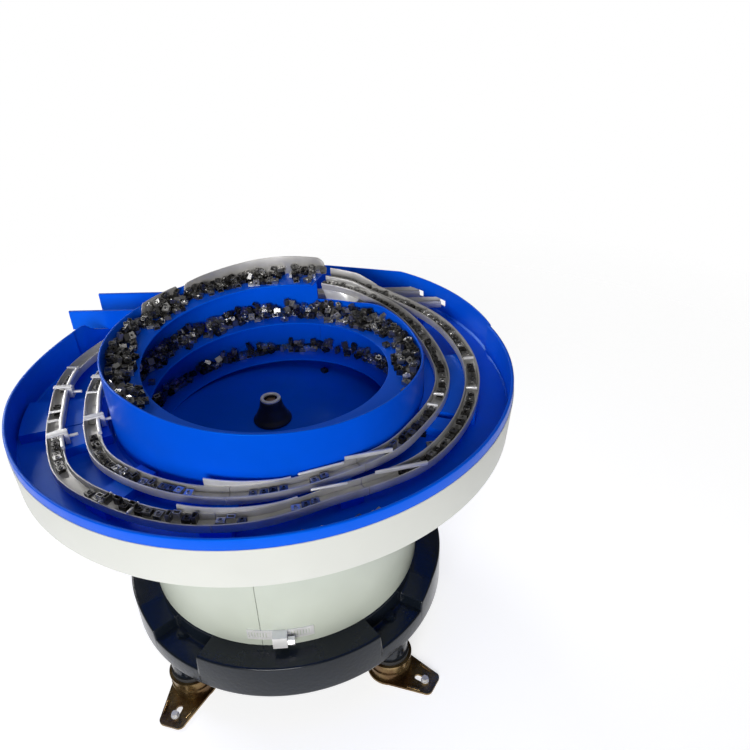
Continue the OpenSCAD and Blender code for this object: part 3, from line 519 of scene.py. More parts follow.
hub_r, edge_r = 4.4, 158.9
r = np.array([hub_r, 20, 60, 100, 130, 150, 156.2])
dish = np.concatenate([np.stack([r, floor_at(r)], 1),
                       [[edge_r, floor_at(edge_r) + 2.6], [edge_r, floor_at(edge_r) - sheet],
                        [hub_r, floor_at(hub_r) - sheet]]])
swept("bowl_floor_dish", turned_points(dish, np.arange(0, 360, 2.0)), blue_coat, ["bowl_floor"], ring=True)
print("bowl made")

# %% [markdown]
# ## Tray
# The tray catches what falls off the tracks. At the front its wall flares outward as a cone and
# ends in a rolled rim band; round the back it stands upright, with two flat panels at the back
# right. So its radius is a function of azimuth, made of an arc off the axis and two straight lines.

# %% Tray outline
tray_r, rim_r, rim_z, rim_low = 250.0, 250.3, 347.0, 336.0
tray_z, tray_under, skirt_z0, low_z = 312.0, 310.0, 294.0, 323.0
panel = np.array([[142.0, 227.3], [45.0, 253.0], [0.0, 250.0]])
panel_az = np.degrees(np.arctan2(panel[:, 1], panel[:, 0]))


def drawn_in(az):
    """How far the tray's wall stands in at the hidden left back, in mm."""
    table = [[100, 0], [146, 0], [158, 6.0], [170, 6.0], [193, 0], [400, 0]]
    return eased(np.array(table), 1, az)


def line_radius(p, q, a):
    """Distance from the axis, along azimuth a, to the straight line through p and q."""
    n = np.array([q[1] - p[1], p[0] - q[0]])
    return n @ p / (n[0] * np.cos(a) + n[1] * np.sin(a))


def back_radius(az):
    """Radius of the wall round the back: an arc about (-8, 26), the two panels, then an arc again."""
    a = np.radians(az)
    x, y = -8, 26
    d = x * np.cos(a) + y * np.sin(a)
    arc = d + np.sqrt((tray_r + 1) ** 2 - x ** 2 - y ** 2 + d ** 2)
    flats = [line_radius(panel[0], panel[1], a), line_radius(panel[1], panel[2], a)]
    return np.select([az <= panel_az[0], az <= panel_az[1], az < 90], [arc] + flats,
                     tray_r - 1.5 - drawn_in(az))


def tray_azimuths(a0, a1, step=1.5):
    """Azimuths from a0 to a1, with the corners of the panels among them."""
    even = np.linspace(a0, a1, max(2, int(abs(a1 - a0) / step) + 1))
    return np.unique(np.round(np.concatenate([even, [a for a in panel_az if a0 < a < a1]]), 5))


def upright_rows(az, z_low, z_high, out_by, thick):
    """Sections of the upright wall at the back, from z_low to z_high."""
    r = back_radius(az) + out_by
    return rolled(boxes(r, r + thick, z_low, z_high), az, 0.8)


cut_az, low_az = (102.5, 148.0), 156.5
outlets = ((41.3, 45.6), (49.9, 55.0))
outlet_low, outlet_high = 321.9, 330.3


def ramp_top(az):
    """Height of the wall beside the chutes, where it climbs from low_z to the rim."""
    return np.interp(az, [cut_az[1], 152.3, 154.2, low_az], [low_z, 332, 337, rim_z])


def back_runs(z_low, z_high, out_by, thick):
    """The wall or skirt round the back: full height, with a hole round each outlet, low behind the
    chutes, and a ramp."""
    spans = [(ends, z_low, z_high) for ends in
             ((18, outlets[0][0]), (outlets[0][1], outlets[1][0]), (outlets[1][1], cut_az[0]))]
    spans += [(ends, z_low, outlet_low) for ends in outlets]
    spans += [(ends, outlet_high, z_high) for ends in outlets] + [(cut_az, z_low, low_z)]
    runs = [upright_rows(tray_azimuths(*ends), z0, z1, out_by, thick) for ends, z0, z1 in spans]
    az = tray_azimuths(cut_az[1], 161)
    return runs + [upright_rows(az, z_low, np.minimum(ramp_top(az), z_high), out_by, thick)]


az = np.arange(161, 378.01, 1.0)
flare = np.array([(-3.9, tray_under), (-2.5, tray_under), (-1.0, rim_low - 0.6), (0, rim_low), (0, rim_z),
                  (-3.0, rim_z), (-3.0, rim_low)])
front = flare[None] + np.stack([rim_r - drawn_in(az), 0 * az], -1)[:, None]
tray_rows = back_runs(tray_under, rim_z, 0, 1.8) + [rolled(front, az, 1.2, 4)]
swept("tray_wall_sheet", tray_rows, blue_coat, ["tray_wall"])
bulge = 3.0 * np.exp(-((az - 205) / 25) ** 2)
near_end = np.clip(1 - np.minimum(az - 161, 378 - az) / 14, 0, 1)
meet = near_end ** 2 * (3 - 2 * near_end)
meet_low, meet_top = meet * np.where(az > 270, 5.5, 3.9), meet * np.where(az > 270, 2.0, 0.5)
foot = bulge + meet_low - drawn_in(az)
head = rim_r + meet_top - drawn_in(az)
skirt = corners_of((246.3 + foot, skirt_z0), (247.5 + foot, skirt_z0), (head + 0.7, rim_low + 0.4),
                   (head - 0.6, rim_low + 0.4))
skirt_rows = back_runs(skirt_z0, rim_low, 1.85, 1.2) + [rolled(skirt, az)]
swept("tray_skirt_sheet", skirt_rows, cream_paint, ["tray_skirt"])

# %% Tray floor with painted weld fillets
az = np.concatenate([tray_azimuths(18, 161, 2.0), np.arange(162, 378, 2.0)])
outer = np.where(az <= 161, back_radius(az) + 0.4, rim_r - 2.9 - drawn_in(az))
drum = 161.3 - in_left(az)
bed = corners_of((drum, tray_under), (outer, tray_under), (outer, 314.2), (outer - 2.4, 312.1),
                 (outer - 4.5, tray_z), (drum + 4.5, tray_z), (drum + 2.4, 312.1), (drum, 314.6))
swept("tray_floor_sheet", turned_points(bed, az), blue_coat, ["tray_floor"], ring=True)
print("tray made")

# %% [markdown]
# ## Tracks
# Each track is a thin stainless channel, bent so that it wanders toward the bowl and away again.
# Those wanderings matter: at each one a workpiece that lies the wrong way loses its balance and
# falls off. The two centrelines are tables of azimuth, radius and height, read with `eased`.

# %% Track centrelines and channels
inner_r, outer_r, track_z = 180, 210.5, 330
inner_path = np.array([
    [75, -25, 43], [71, -20.5, 40.5], [64, -10.5, 35], [56, -3.5, 28], [50, 0, 23], [44, 1.5, 19],
    [36, 1.5, 14.5], [24, 1, 6.5], [12, 1, 1.5], [0, 1, 0], [-10, -1.5, 0], [-28, -7.5, 0],
    [-42, -6.5, 0], [-54, -10, 0], [-64, -10.6, 0], [-73, -8, 0], [-91, -3, 0], [-105, -1, 0],
    [-120, 0, 0], [-136, 2.5, 0], [-142, 1, 0], [-147, -2, 0], [-163, -6, 0], [-178, -2, 0],
    [-186, 0, 0], [-210, 0.5, 0], [-240, 0.5, 0], [-270, 0, 0]]) + [0, inner_r, track_z]
outer_path = np.array([
    [75, -40, 43], [71, -35.5, 40.5], [64, -25.5, 35], [56, -18.5, 28], [50, -14.8, 23],
    [45, -10.5, 19.5], [41, -6.5, 16.5], [36, -2, 13], [30, 1.5, 10], [24, 3, 6.5], [12, 3.5, 1.5],
    [0, 1, 0], [-10, -1.5, 0], [-22, -3, 0], [-42, -4.5, 0], [-54, -11.5, 0], [-66, -16.5, 0],
    [-75, -11.5, 0], [-84, -4.5, 0], [-91, -1.5, 0], [-100, 1.5, 0], [-121, 2.5, 0], [-130, 5.5, 0],
    [-138, 6.5, 0], [-145, 2.5, 0], [-152, -0.5, 0], [-166, -3.2, 0], [-180, 3, 0], [-187, 6, 0],
    [-200, 5, 0], [-220, 2.5, 0], [-245, 0, 0], [-270, 0, 0]]) + [0, outer_r, track_z]
track_w, track_h, track_t = 15.0, 8.0, 1.4


def along(path, az):
    """Radius and height of the tops of the track's walls at azimuths az."""
    return eased(path, 1, az), eased(path, 2, az, 3.0)


def strip_rows(path, a0, a1, section, reach=0.4):
    """A section, given as offsets from the centreline and from the wall tops, carried along a track."""
    az = np.linspace(a0, a1, max(3, int(abs(a1 - a0)) + 1))
    r, z = along(path, az)
    section = soften(np.array(section, float), reach, 2)
    return turned_points(section[None] + np.stack([r, z], -1)[:, None], az)


half, inside, bed_z = track_w / 2, track_w / 2 - track_t, track_t - track_h
channel = [(-half, -track_h), (half, -track_h), (half, 0), (inside, 0), (inside, bed_z), (-inside, bed_z),
           (-inside, 0), (-half, 0)]


def exit_rows(y, x1):
    """The straight run of a track behind the bowl, along +X to the outlet."""
    across, up = soften(channel, 0.4, 2).T
    return np.stack([np.stack([x + 0 * across, y + across, track_z + up], -1) for x in (0, x1)])


for side, path, ends, y, x1 in (("inner", inner_path, (71.5, -54, -54.2, -93, -93.2, -270), inner_r, 191),
                                ("outer", outer_path, (71.5, -58, -58.2, -94, -94.2, -270), outer_r, 166)):
    for k, where in enumerate(("right", "front", "left")):
        rows = [strip_rows(path, ends[2 * k], ends[2 * k + 1], channel)]
        if where == "left":
            rows.append(exit_rows(y, x1))
        swept(f"{side}_channel_{where}", rows, track_steel, [f"{side}_track_{where}"])


def guide_rows(path, a0, a1, rise0, rise1):
    """An upright strip against a track's inner side, rise0 above it at one end and rise1 at the other."""
    az = np.linspace(a0, a1, 24)
    r, z = along(path, az)
    rise = rise0 + (rise1 - rise0) * np.clip((az - a0) / (a1 - a0) * 1.15, 0, 1)
    return rolled(boxes(r - half - 1.6, r - half - 0.05, z - track_h, z + rise), az, 0.5, 2)


guides = [guide_rows(inner_path, -100.5, -75.5, 7.0, 0.8), guide_rows(outer_path, -103, -75, 6.5, 0.6)]
swept("front_guide_strips", guides, bright_steel, ["front_guides"])
rail = boxes(-half - 1.0, -half + 2.4, 0.05, 3.6)
rails = [strip_rows(inner_path, -147, -183, rail, 0.9), strip_rows(outer_path, -146, -186, rail, 0.9)]
swept("side_rail_bars", rails, bright_steel, ["side_rails"])
print("tracks made")

# %% [markdown]
# ## Small parts on the tracks
# Bars lie across the tracks and press passing workpieces flat. Straps hold the side rails, each
# with a screw that sets the gap. Thin rods and tapered strips at the front lead the rows apart.
# All of them are short sweeps of a softened section: across a track, or along a straight line.


# %% Bars, straps, rods and tapered strips
def track_point(path, az):
    """Radius and height of the tops of the track's walls at one azimuth."""
    return (float(v[0]) for v in along(path, [az]))


def cross_rows(path, az, r0, r1, z0, z1, width):
    """A bar across a track at azimuth az, width mm along it, r0 to r1 and z0 to z1 off its centreline."""
    r, z = track_point(path, az)
    section = soften(boxes(-width / 2, width / 2, z0, z1), 0.6)
    radius = np.linspace(r + r0, r + r1, 3)[:, None]
    a = radians(az)
    side, up = section[None, :, 0], section[None, :, 1]
    return np.stack([radius * cos(a) - side * sin(a), radius * sin(a) + side * cos(a),
                     0 * radius + z + up], -1)


def spot(path, az, out_by, up):
    """A point beside a track's centreline and above its wall tops."""
    r, z = track_point(path, az)
    a = radians(az)
    return np.array([(r + out_by) * cos(a), (r + out_by) * sin(a), z + up])


def rod_rows(p, q, radius):
    """A round rod from p to q with domed ends: its radius follows a quarter circle at each end."""
    dome_share = 0.04
    f = np.concatenate([np.linspace(0, 1, 5) ** 2 * dome_share, 1 - np.linspace(1, 0, 5) ** 2 * dome_share])
    dome = np.sqrt(np.clip(1 - (1 - np.minimum(f, 1 - f) / dome_share) ** 2, 0.02, 1))
    path = p + (q - p) * f[:, None]
    forward = (q - p) / np.linalg.norm(q - p)
    side = np.cross(forward, [0, 0, 1.0])
    side /= np.linalg.norm(side)
    over = np.cross(side, forward)
    k = np.linspace(0, 2 * np.pi, 12, endpoint=False)[None, :, None]
    return path[:, None] + radius * dome[:, None, None] * (np.cos(k) * side + np.sin(k) * over)


bars = []
for path, azimuths, reach, z0, z1, width in (
        (inner_path, (-11, -17.5), 5.2, -1.6, 0.9, 2.6), (outer_path, (9, -6.5), 5.4, -1.6, 0.9, 2.6),
        (inner_path, (-173, -188.5), 6.9, 0.1, 1.8, 2.8),
        (outer_path, (-160, -164.5, -187.5), 6.9, 0.1, 1.8, 2.8),
        (outer_path, (-121, -113), 6.9, -1.2, 1.7, 2.2)):
    bars += [cross_rows(path, a, -reach, reach, z0, z1, width) for a in azimuths]
swept("cross_bar_strips", bars, bright_steel, ["cross_bars"])
straps, pins = [], []
for path, a, width in ((inner_path, -181, 5.0), (inner_path, -156, 7.0), (outer_path, -175.5, 5.0),
                       (outer_path, -152, 8.0)):
    straps += [cross_rows(path, a, -half - 4.6, 5.8, 3.7, 5.5, width),
               cross_rows(path, a, -half - 5.2, -half - 1.2, -6.8, 3.7, width + 2)]
    pins.append(rod_rows(spot(path, a, -half - 13.5, -1.8), spot(path, a, -half - 3.0, -1.8), 1.5))
swept("rail_straps", straps, bright_steel, ["strap_clamps"])
swept("rail_set_screws", pins, bright_steel, ["set_screws"])
rods = [rod_rows(spot(path, a0, out0, 1.4), spot(path, a1, out1, 1.4), 1.3) for path, a0, out0, a1, out1 in
        ((inner_path, -73.4, -7.6, -58.9, -3.3), (outer_path, -71.5, -9.6, -62.0, -3.6))]
swept("front_rods", rods, bright_steel, ["guide_rods"])


def taper_rows(p, q, wide, tall):
    """A strip on edge from p to q that narrows to a third of its width at p."""
    forward = (q - p) / np.linalg.norm(q - p)
    side, upright = np.cross([0, 0, 1.0], forward), np.array([0, 0, 1.0])
    f = np.linspace(0, 1, 6)[:, None, None]
    section = soften(boxes(-0.5, 0.5, 0, 1), 0.18, 2)
    width = wide * (0.34 + 0.66 * np.minimum(1, f * 3))
    return p + (q - p) * f + section[None, :, :1] * width * side + section[None, :, 1:] * tall * upright


tapers = [taper_rows(spot(path, a0, out0, 0.1), spot(path, a1, out1, 0.1), 2.6, 3.4) for
          path, a0, out0, a1, out1 in
          ((inner_path, -57.9, -8, -44.5, 6.8), (outer_path, -54.3, -5.5, -42.5, 8.8))]
swept("deflector_tapers", tapers, bright_steel, ["deflector_strips"])

# %% [markdown]
# ## Where the ledge hands over
# At the top of the ledge the workpieces slide on to two lanes that lie side by side and fall toward
# the tracks. A bright divider stands between the lanes and a taller strip guards the outside. A
# thin plate closes the wedge between the lanes and the lowered wall of the bowl.

# %% Lane dividers and entry plate
lane_az = np.linspace(71.6, 55.5, 26)
lane_r, lane_z = along(inner_path, lane_az)
rise = np.clip((lane_az - 54) * 0.9, 0.6, 7.5)
guard_r, middle_r, edge_r = lane_r + 15 + half, lane_r + half, lane_r - half
guard = rolled(boxes(guard_r - 1.2, guard_r + 0.3, lane_z - 2, lane_z + rise), lane_az, 0.5, 2)
middle = rolled(boxes(middle_r - 1.5, middle_r + 1.5, lane_z - 2, lane_z + 0.5 * rise), lane_az, 0.8)
inner_edge = rolled(boxes(edge_r - 0.6, edge_r + 1.3, lane_z - 3, lane_z + 0.6), lane_az, 0.6)
swept("lane_divider_strips", [guard, middle, inner_edge], track_steel, ["lane_dividers"])
az = np.linspace(71.0, 57.0, 24)
r, z = along(inner_path, az)
p0 = np.stack([r - half - 0.4, z - track_h + 0.6], -1)
p1 = np.stack([0 * r + bowl_r + 1.1, eased(climb, 1, 75 - az, 2.0) - 0.2], -1)
slope = (p1 - p0) / np.linalg.norm(p1 - p0, axis=1)[:, None]
off = np.stack([-slope[:, 1], slope[:, 0]], -1) * 1.1
entry_rows = rolled(np.stack([p0, p1, p1 + off, p0 + off], -2), az, 0.4, 2)
swept("entry_plate_sheet", entry_rows, bright_steel, ["entry_plate"])
print("entry made")

# %% [markdown]
# ## Guide plates
# Two thin steel plates stand against the inside of the bowl wall at the back and top up its
# height. A plate cut from sheet ends in a rounded corner, so each plate's top falls away on a
# quarter ellipse at its ends.

# %% Guide plates
def plate_rows(a0, a1, tops, round0, round1):
    """A plate from azimuth a0 to a1. tops gives its height at shares of its length, and round0 and round1
    the shares that its rounded corners take up."""
    az = np.linspace(a0, a1, 70)
    f = (a0 - az) / (a0 - a1)
    height = eased(np.array(tops, float), 1, f, 0.05)
    for share, corner in ((f, round0), (1 - f, round1)):
        height = height - 14 * (1 - np.sqrt(np.clip(1 - np.clip(1 - share / corner, 0, 1) ** 2, 0, 1)))
    r = bowl_r - 1.8 - in_left(az)
    return rolled(boxes(r, r + 1.4, ledge_at(900 - az) + 0.1, height), az, 0.4, 2)


long_tops = [(-0.1, 384), (0, 386), (0.1, 389.5), (0.3, 393.5), (0.55, 398.5), (0.75, 400.3), (1, 400.3)]
plates = [plate_rows(133.8, 70.2, long_tops, 0.04, 0.07),
          plate_rows(156, 135.5, [(0, 386.5), (1, 388)], 0.1, 0.06)]
swept("guide_plates", plates, plate_steel, ["guide_plate_long", "guide_plate_short"])

# %% [markdown]
# ## Centre fixing
# One bolt holds the bowl down on the drive. Its moulded cone keeps workpieces away from it.

# %% Cone, ring and nut
cone = [(4.4, 280.2), (20.5, 279.0), (20.5, 281.2), (17.2, 285.5), (12.6, 296), (11.2, 304.5),
        (7.1, 304.5), (7.1, 297.5), (4.4, 297.5)]
lathe("cone_moulding", cone, plastic, ["centre_cone"], 1.0)
collar = [(7.2, 304.55), (10.8, 304.55), (10.8, 306.1), (10.2, 306.7), (7.2, 306.7)]
lathe("cone_steel_ring", collar, bright_steel, ["cone_ring"], 0.4)
print("centre made")

# %% [markdown]
# ## Base casting
# The base is a heavy cast ring with a raised boss. Four pockets are cut into its top, so its top
# height is a function of azimuth: level, with a step down into each pocket at one end and a ramp
# back up at the other. Castings have no sharp corners, so the section is softened strongly.

# %% Casting
base_r, base_z0, base_z1, boss_r, boss_z1 = 182.0, 57.0, 104.0, 151.4, 134.0
bore_r, web_r, web_z = 20, 139, base_z0 + 15
pockets = ((-52, -30, False), (-136, -114, True), (128, 150, False), (44, 66, True))


def top_height(az):
    """Height of the ring's top face. Each pocket is 83 mm high; it has a steep step at one end, eased
    over 0.8 degrees, and at the other a small step and a ramp 9 degrees long."""
    top = np.full(az.shape, base_z1)
    for low_end, high_end, ramp_first in pockets:
        a = (az - low_end + 180) % 360 - 180 + low_end
        steep, shallow = (high_end - a, a - low_end) if ramp_first else (a - low_end, high_end - a)
        near = np.clip(steep / 0.8, 0, 1)
        wall = 83 + 21 * (1 - near ** 2 * (3 - 2 * near))
        ramp = 94 + 10 * np.clip(-shallow / 9.0, 0, 1)
        ramp = np.where(shallow > 0, 83 + 11 * (1 - np.clip(shallow / 0.8, 0, 1)), ramp)
        top = np.minimum(top, np.where(steep > 0, np.maximum(wall, ramp), base_z1))
    return top


steps_az = [np.linspace(end - 1.2, end + 1.2, 13) for low_end, high_end, _ in pockets
            for end in (low_end, high_end)]
az = np.unique(np.concatenate([np.arange(-180, 180, 1.5)] + steps_az))
t = top_height(az)
outline = corners_of((bore_r, base_z0), (base_r - 4, base_z0), (base_r, base_z0 + 4), (base_r, t),
                     (boss_r + 3.4, t), (boss_r + 3.0, np.minimum(base_z1, t + 21)),
                     (boss_r, base_z1 + 0.2), (boss_r, boss_z1), (web_r, boss_z1), (web_r, web_z),
                     (bore_r, web_z))
casting = rolled(outline, az, 2.6, 4)
k = np.radians(np.arange(0, 360, 10.0))[:, None]
boss = soften(boxes(0.5, 20.4, 33.0, 62.0), 1.6)
boss_x, boss_y, boss_z = boss[:, 0] * np.cos(k), boss[:, 0] * np.sin(k), boss[:, 1] + 0 * k
bosses = []
for foot_az in (-40, -130, 140, 50):
    a = radians(foot_az)
    bosses.append(np.stack([157.0 * cos(a) + boss_x, 157.0 * sin(a) + boss_y, boss_z], -1))
swept("cast_base", [casting] + bosses, black_cast, ["base_ring"], "base", True, 60)
print("base made")

# %% [markdown]
# ## Shroud
# A pale sheet wraps the spring drive and meets itself in one upright lap joint at the front.

# %% Shroud
shroud_z0, shroud_z1 = 104.05, 240.0
wrap = rolled(boxes(boss_r + 0.05, boss_r + 1.55, shroud_z0, shroud_z1), np.linspace(-93, 266.8, 361), 0.5, 2)
lap = rolled(boxes(boss_r + 1.25, boss_r + 1.75, 129.0, shroud_z1), np.linspace(-96, -93.3, 5), 0.24, 2)
swept("shroud_sheet", [wrap, lap], pale_paint, ["shroud"], "base")
print("shroud made")

# %% [markdown]
# ## Workpieces
# Hundreds of small stamped clips climb the ledge and queue in the tracks. One clip is a thin square
# tube, open at both ends, with a round hole and a collar in its top. Copies are placed from one
# seeded random stream. On the ledge they lie in rows, each with its own height, so that the upper
# rows rest on the lower ones.

# %% One clip
def polar(r, a):
    """x and y at distance r from the axis and angle a in radians."""
    return r * cos(a), r * sin(a)


def clip_shape(length=7.2, width=6.6, height=4.0, t=0.65):
    """Vertices in mm and faces of one clip: eight points at each end of the tube, then the four rings of
    the hole and its collar."""
    w, h = width / 2, height
    square = ((-w, 0), (w, 0), (w, h), (-w, h), (-w + t, t), (w - t, t), (w - t, h - t), (-w + t, h - t))
    verts = [(x, y, z) for y in (-length / 2, length / 2) for x, z in square]
    faces = [(k, (k + 1) % 4, (k + 1) % 4 + 8, k + 8) for k in (0, 1, 3)]
    faces += [(k + 4, k + 12, (k + 1) % 4 + 12, (k + 1) % 4 + 4) for k in (0, 1, 3)]
    faces += [(k + end, k + 4 + end, (k + 1) % 4 + 4 + end, (k + 1) % 4 + end)[::1 - end // 4]
              for k in range(4) for end in (0, 8)]
    for z, r in ((h, 2.1), (h + 0.8, 2.0), (h + 0.8, 1.35), (h - t, 1.35)):
        verts += [(*polar(r, (q + 0.5) * pi / 4), z) for q in range(8)]
    faces += [(n + q, n + (q + 1) % 8, n + 8 + (q + 1) % 8, n + 8 + q)
              for n in (16, 24, 32) for q in range(8)]
    for first, corners in ((16, (10, 11, 3, 2)), (40, (14, 15, 7, 6))):
        for c in range(4):
            middle = first + (2 * c + 1) % 8
            faces.append((corners[c], first + 2 * c, middle))
            faces.append((corners[c], middle, first + (2 * c + 2) % 8, corners[(c + 1) % 4]))
    return np.array(verts), faces


clip_verts, clip_faces = clip_shape()
rng = np.random.default_rng(7)
places = []


def turn_matrix(yaw, lean_x, lean_y):
    """Yaw about the upright axis after leans about x and y, in radians."""
    cx, sx, cy, sy = cos(lean_x), sin(lean_x), cos(lean_y), sin(lean_y)
    cz, sz = cos(yaw), sin(yaw)
    about_x = np.array([[1, 0, 0], [0, cx, -sx], [0, sx, cx]])
    about_y = np.array([[cy, 0, sy], [0, 1, 0], [-sy, 0, cy]])
    return np.array([[cz, -sz, 0], [sz, cz, 0], [0, 0, 1]]) @ about_x @ about_y


def put(x, y, z, yaw, lean_x=0.0, lean_y=0.0):
    """Notes one clip's place in mm and its turn."""
    places.append((np.array([x, y, z]), turn_matrix(yaw, lean_x, lean_y)))


# %% Clips on the ledge
def pile(s0, s1, rows):
    """Clips along the ledge from s0 to s1 degrees. Each row is a distance from the wall, a height above
    the ledge and the share of its places that are taken; rows higher up lean more."""
    for inward, height, share in rows:
        step = np.degrees(7.5 / (bowl_r - inward))
        tilt, tipped_share = (0.07, 0.12) if height == 0 else (0.34, 0.3)
        for s in np.arange(s0, s1, step):
            s += rng.uniform(-0.25, 0.25) * step
            if rng.uniform() > share + 0.3 * sin(s * 0.13 + inward) * sin(s * 0.041):
                continue
            r = bowl_r - in_left(180 - s) - inward + rng.normal(0, 0.7)
            a = radians(180 - s)
            on_side = rng.uniform() < tipped_share
            z = ledge_at(s) + 0.3 + height + (3.5 if on_side else 0) + abs(rng.normal(0, tilt)) * 3.5
            yaw = a + rng.normal(0, 0.45) + rng.integers(0, 4) * pi / 2
            lean = rng.normal(0, tilt) + (pi / 2 if on_side else 0)
            put(*polar(r, a), z, yaw, lean, rng.normal(0, tilt))


heap = [(4.8, 0, 0.97), (12.0, 0, 0.95), (19.2, 0, 0.55), (26.0, 0, 0.3), (5.4, 4.3, 0.9),
        (12.6, 4.3, 0.7), (19.6, 4.3, 0.25), (6.2, 8.5, 0.5)]
pile(15, 150, [(4.8, 0, 0.95), (12.0, 0, 0.85), (5.4, 4.3, 0.6)])
pile(367, 556, heap)
pile(556, 596, [(4.8, 0, 0.9), (5.2, 4.3, 0.3)])
pile(612, 650, [(4.8, 0, 0.6), (12.4, 0, 0.3)])
pile(650, 678, [(4.8, 0, 0.9), (12.0, 0, 0.8), (19.2, 0, 0.3), (5.4, 4.3, 0.5)])
pile(678, 760, heap)
pile(760, 830, heap[:3] + [(5.4, 4.3, 0.7), (12.6, 4.3, 0.35)])
pile(796, 830, [(25.5, 0, 0.6)])
print(len(places), "clips on the ledge")


# %% Clips in the tracks, on the tray floor and in the bowl
def queue(path, spans, gap):
    """Clips one behind another in a track, over spans of azimuth. Where the outer row is crowded they
    ride higher and more of them lie on their sides."""
    for a0, a1 in spans:
        az = a0
        while az > a1:
            r, z = track_point(path, az)
            a = radians(az)
            crowded = path is outer_path and -123 < az < -97
            flip = rng.uniform() < (0.6 if crowded else 0.16)
            up = 3.4 if flip else 1.4 * (rng.uniform() < 0.3)
            z = z - track_h + track_t + 0.1 + (4.0 if crowded else 0) + up
            yaw = a + rng.normal(0, 0.05) + rng.integers(0, 4) * pi / 2
            put(*polar(r, a), z, yaw, pi / 2 if flip else 0)
            az -= degrees(rng.uniform(7.5, gap) / r)


queue(inner_path, [(71, 56), (53, -12.5), (-19, -44), (-66, -70), (-78, -88), (-104, -112), (-116, -148),
                   (-158, -160), (-176, -186), (-206, -222), (-236, -252)], 9.0)
queue(outer_path, [(71, 48), (46, 12), (6, -5), (-9, -48), (-71, -77), (-88, -94), (-97.5, -107),
                   (-109, -122), (-124, -128), (-140, -156), (-166, -170), (-178, -184), (-214, -224),
                   (-240, -254)], 8.8)
for az in np.linspace(-79, -58, 10):
    a = radians(az + rng.uniform(-1, 1))
    put(rng.uniform(218, 222) * cos(a), rng.uniform(218, 222) * sin(a), tray_z + 0.1,
        rng.uniform(0, 3), 0.25 * rng.uniform())
for x, y, yaw in ((163, -97, 10), (-126, -210, 70), (157, -78, 70), (47, 113, 40)):
    r = hypot(x, y)
    put(x, y, tray_z + 0.1 if r > 161 else floor_at(r) + 0.2, radians(yaw))

shift = np.array([p for p, _ in places])
turns = np.array([m for _, m in places])
verts = (np.einsum("nij,vj->nvi", turns, clip_verts) + shift[:, None]).reshape(-1, 3)
faces = [tuple(i + k * len(clip_verts) for i in f) for k in range(len(places)) for f in clip_faces]
mesh = bpy.data.meshes.new("workpiece_clips")
mesh.from_pydata((verts * MM).tolist(), [], faces)
tone = mesh.attributes.new("tone", "FLOAT", "POINT")
shares = np.clip(rng.normal(0.28, 0.32, len(places)), 0, 1)
tone.data.foreach_set("value", np.repeat(shares, len(clip_verts)).astype(np.float32))
mesh.materials.append(work_metal)
clips = new_object("workpiece_clips", mesh)
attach(clips, "bowl")
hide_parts("workpieces")
print(len(places), "clips,", len(faces), "faces")

# %% [markdown]
# ## Finishes for the pieces carried over
# The small hardware keeps its exact CAD shape and only gets a finish. Each piece takes the one its
# real counterpart has: bright screws, dark drive blocks, blue support blocks, golden brackets.

# %% Finishes by node
carried = {
    bracket_gold: [f"foot_bracket_{n}" for n in (1, 2, 3, 4)],
    rubber: [f"foot_rubber_{n}" for n in (1, 2, 3, 4)],
    bright_steel: ["foot_screws", "clamp_band", "clamp_housing", "clamp_screw", "spring_bolts_lower",
                   "spring_bolts_upper"],
    dark_paint: ["magnet_stand", "spring_feet", "spring_heads"],
    core_sheets: ["magnet_core", "armature"],
    winding: ["magnet_coil"],
    glass_fibre: ["spring_leaves"],
    machined: ["top_plate"],
    black_cast: ["bowl_hub", "foot_bolts"],
    copper_nut: ["centre_bolt"],
    blue_coat: ["chute_plate_front", "chute_plate_rear", "track_supports", "entry_posts"],
    plastic: ["cable_gland", "cable_plug"],
}
for material, names in carried.items():
    for name in names:
        nodes[name].data.materials.clear()
        nodes[name].data.materials.append(material)
print(sum(len(names) for names in carried.values()), "CAD nodes finished")

# %% [markdown]
# ## Floor, sky and lamps
# The feeder is shown on white. The floor is so bright that only its shadows stay below white, and it
# fades out before its edge. A broad lamp behind the viewer gives the fronts their light, and weaker
# ones stand overhead and at the back. The camera sees a white sky, but what the glossy surfaces
# mirror is a dim one, lighter near the ground and darker above.

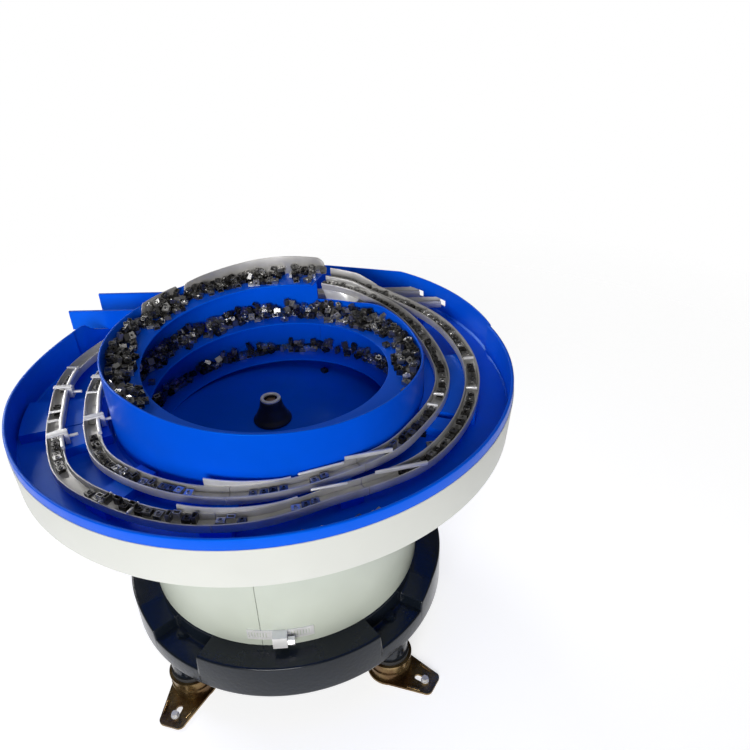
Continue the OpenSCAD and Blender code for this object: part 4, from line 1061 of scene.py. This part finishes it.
# %% Floor
floor_mesh = bpy.data.meshes.new("floor")
floor_mesh.from_pydata([(-14, -14, 0), (14, -14, 0), (14, 14, 0), (-14, 14, 0)], [], [(0, 1, 2, 3)])
floor = new_object("floor", floor_mesh)
ground = Finish("white_floor", roughness=0.6, specular=0.1, emission_color=(1, 1, 1), emission_strength=0.7)
where, *_, r = ground.place()
tone = ground.mix(ground.noise(where, 3.0), (0.6, 0.6, 0.6), (0.64, 0.64, 0.64))
ground.set(base_color=tone, alpha=1 - r.clipped(0.6, 1.4))
floor_mesh.materials.append(ground.material)

# %% Sky
world = bpy.data.worlds.new("sky")
bpy.context.scene.world = world
world.use_nodes = True
tree = world.node_tree
tree.nodes.clear()
kinds = ("LightPath", "TexCoord", "SeparateXYZ", "MapRange", "Background", "Background", "MixShader",
         "OutputWorld")
path_node, coords, apart, rise, dim, white, pick, final = (tree.nodes.new("ShaderNode" + k) for k in kinds)
for number, value in enumerate((-0.1, 0.8, 0.26, 0.12), 1):
    rise.inputs[number].default_value = value
for a, b in ((coords.outputs["Generated"], apart.inputs[0]), (apart.outputs[2], rise.inputs[0]),
             (rise.outputs[0], dim.inputs["Strength"]), (path_node.outputs["Is Camera Ray"], pick.inputs[0]),
             (dim.outputs[0], pick.inputs[1]), (white.outputs[0], pick.inputs[2]),
             (pick.outputs[0], final.inputs[0])):
    tree.links.new(a, b)
white.inputs["Color"].default_value = (1, 1, 1, 1)


# %% Lamps
def lamp(name, place, target, width, height, watts):
    """A rectangular lamp at place, in metres, turned so that its -Z axis points at target."""
    back = np.array(place, float) - np.array(target, float)
    back /= np.linalg.norm(back)
    side = np.cross([0, 0, 1.0], back)
    side /= np.linalg.norm(side)
    over = np.cross(back, side)
    light = bpy.data.lights.new(name, "AREA")
    light.shape = "RECTANGLE"
    light.size = width
    light.size_y = height
    light.energy = watts
    obj = new_object(name, light)
    obj.matrix_world = Matrix([[side[i], over[i], back[i], place[i]] for i in range(3)] + [[0, 0, 0, 1]])

lamp("window", (-0.25, -3.0, 1.15), (0, 0, 0.3), 1.5, 1.1, 72)
lamp("ceiling", (0.3, -0.3, 3.0), (0, 0, 0.2), 1.6, 1.6, 7)
lamp("back_strip", (-2.4, 1.9, 1.7), (0, 0, 0.35), 1.8, 0.35, 38)
print("lit")
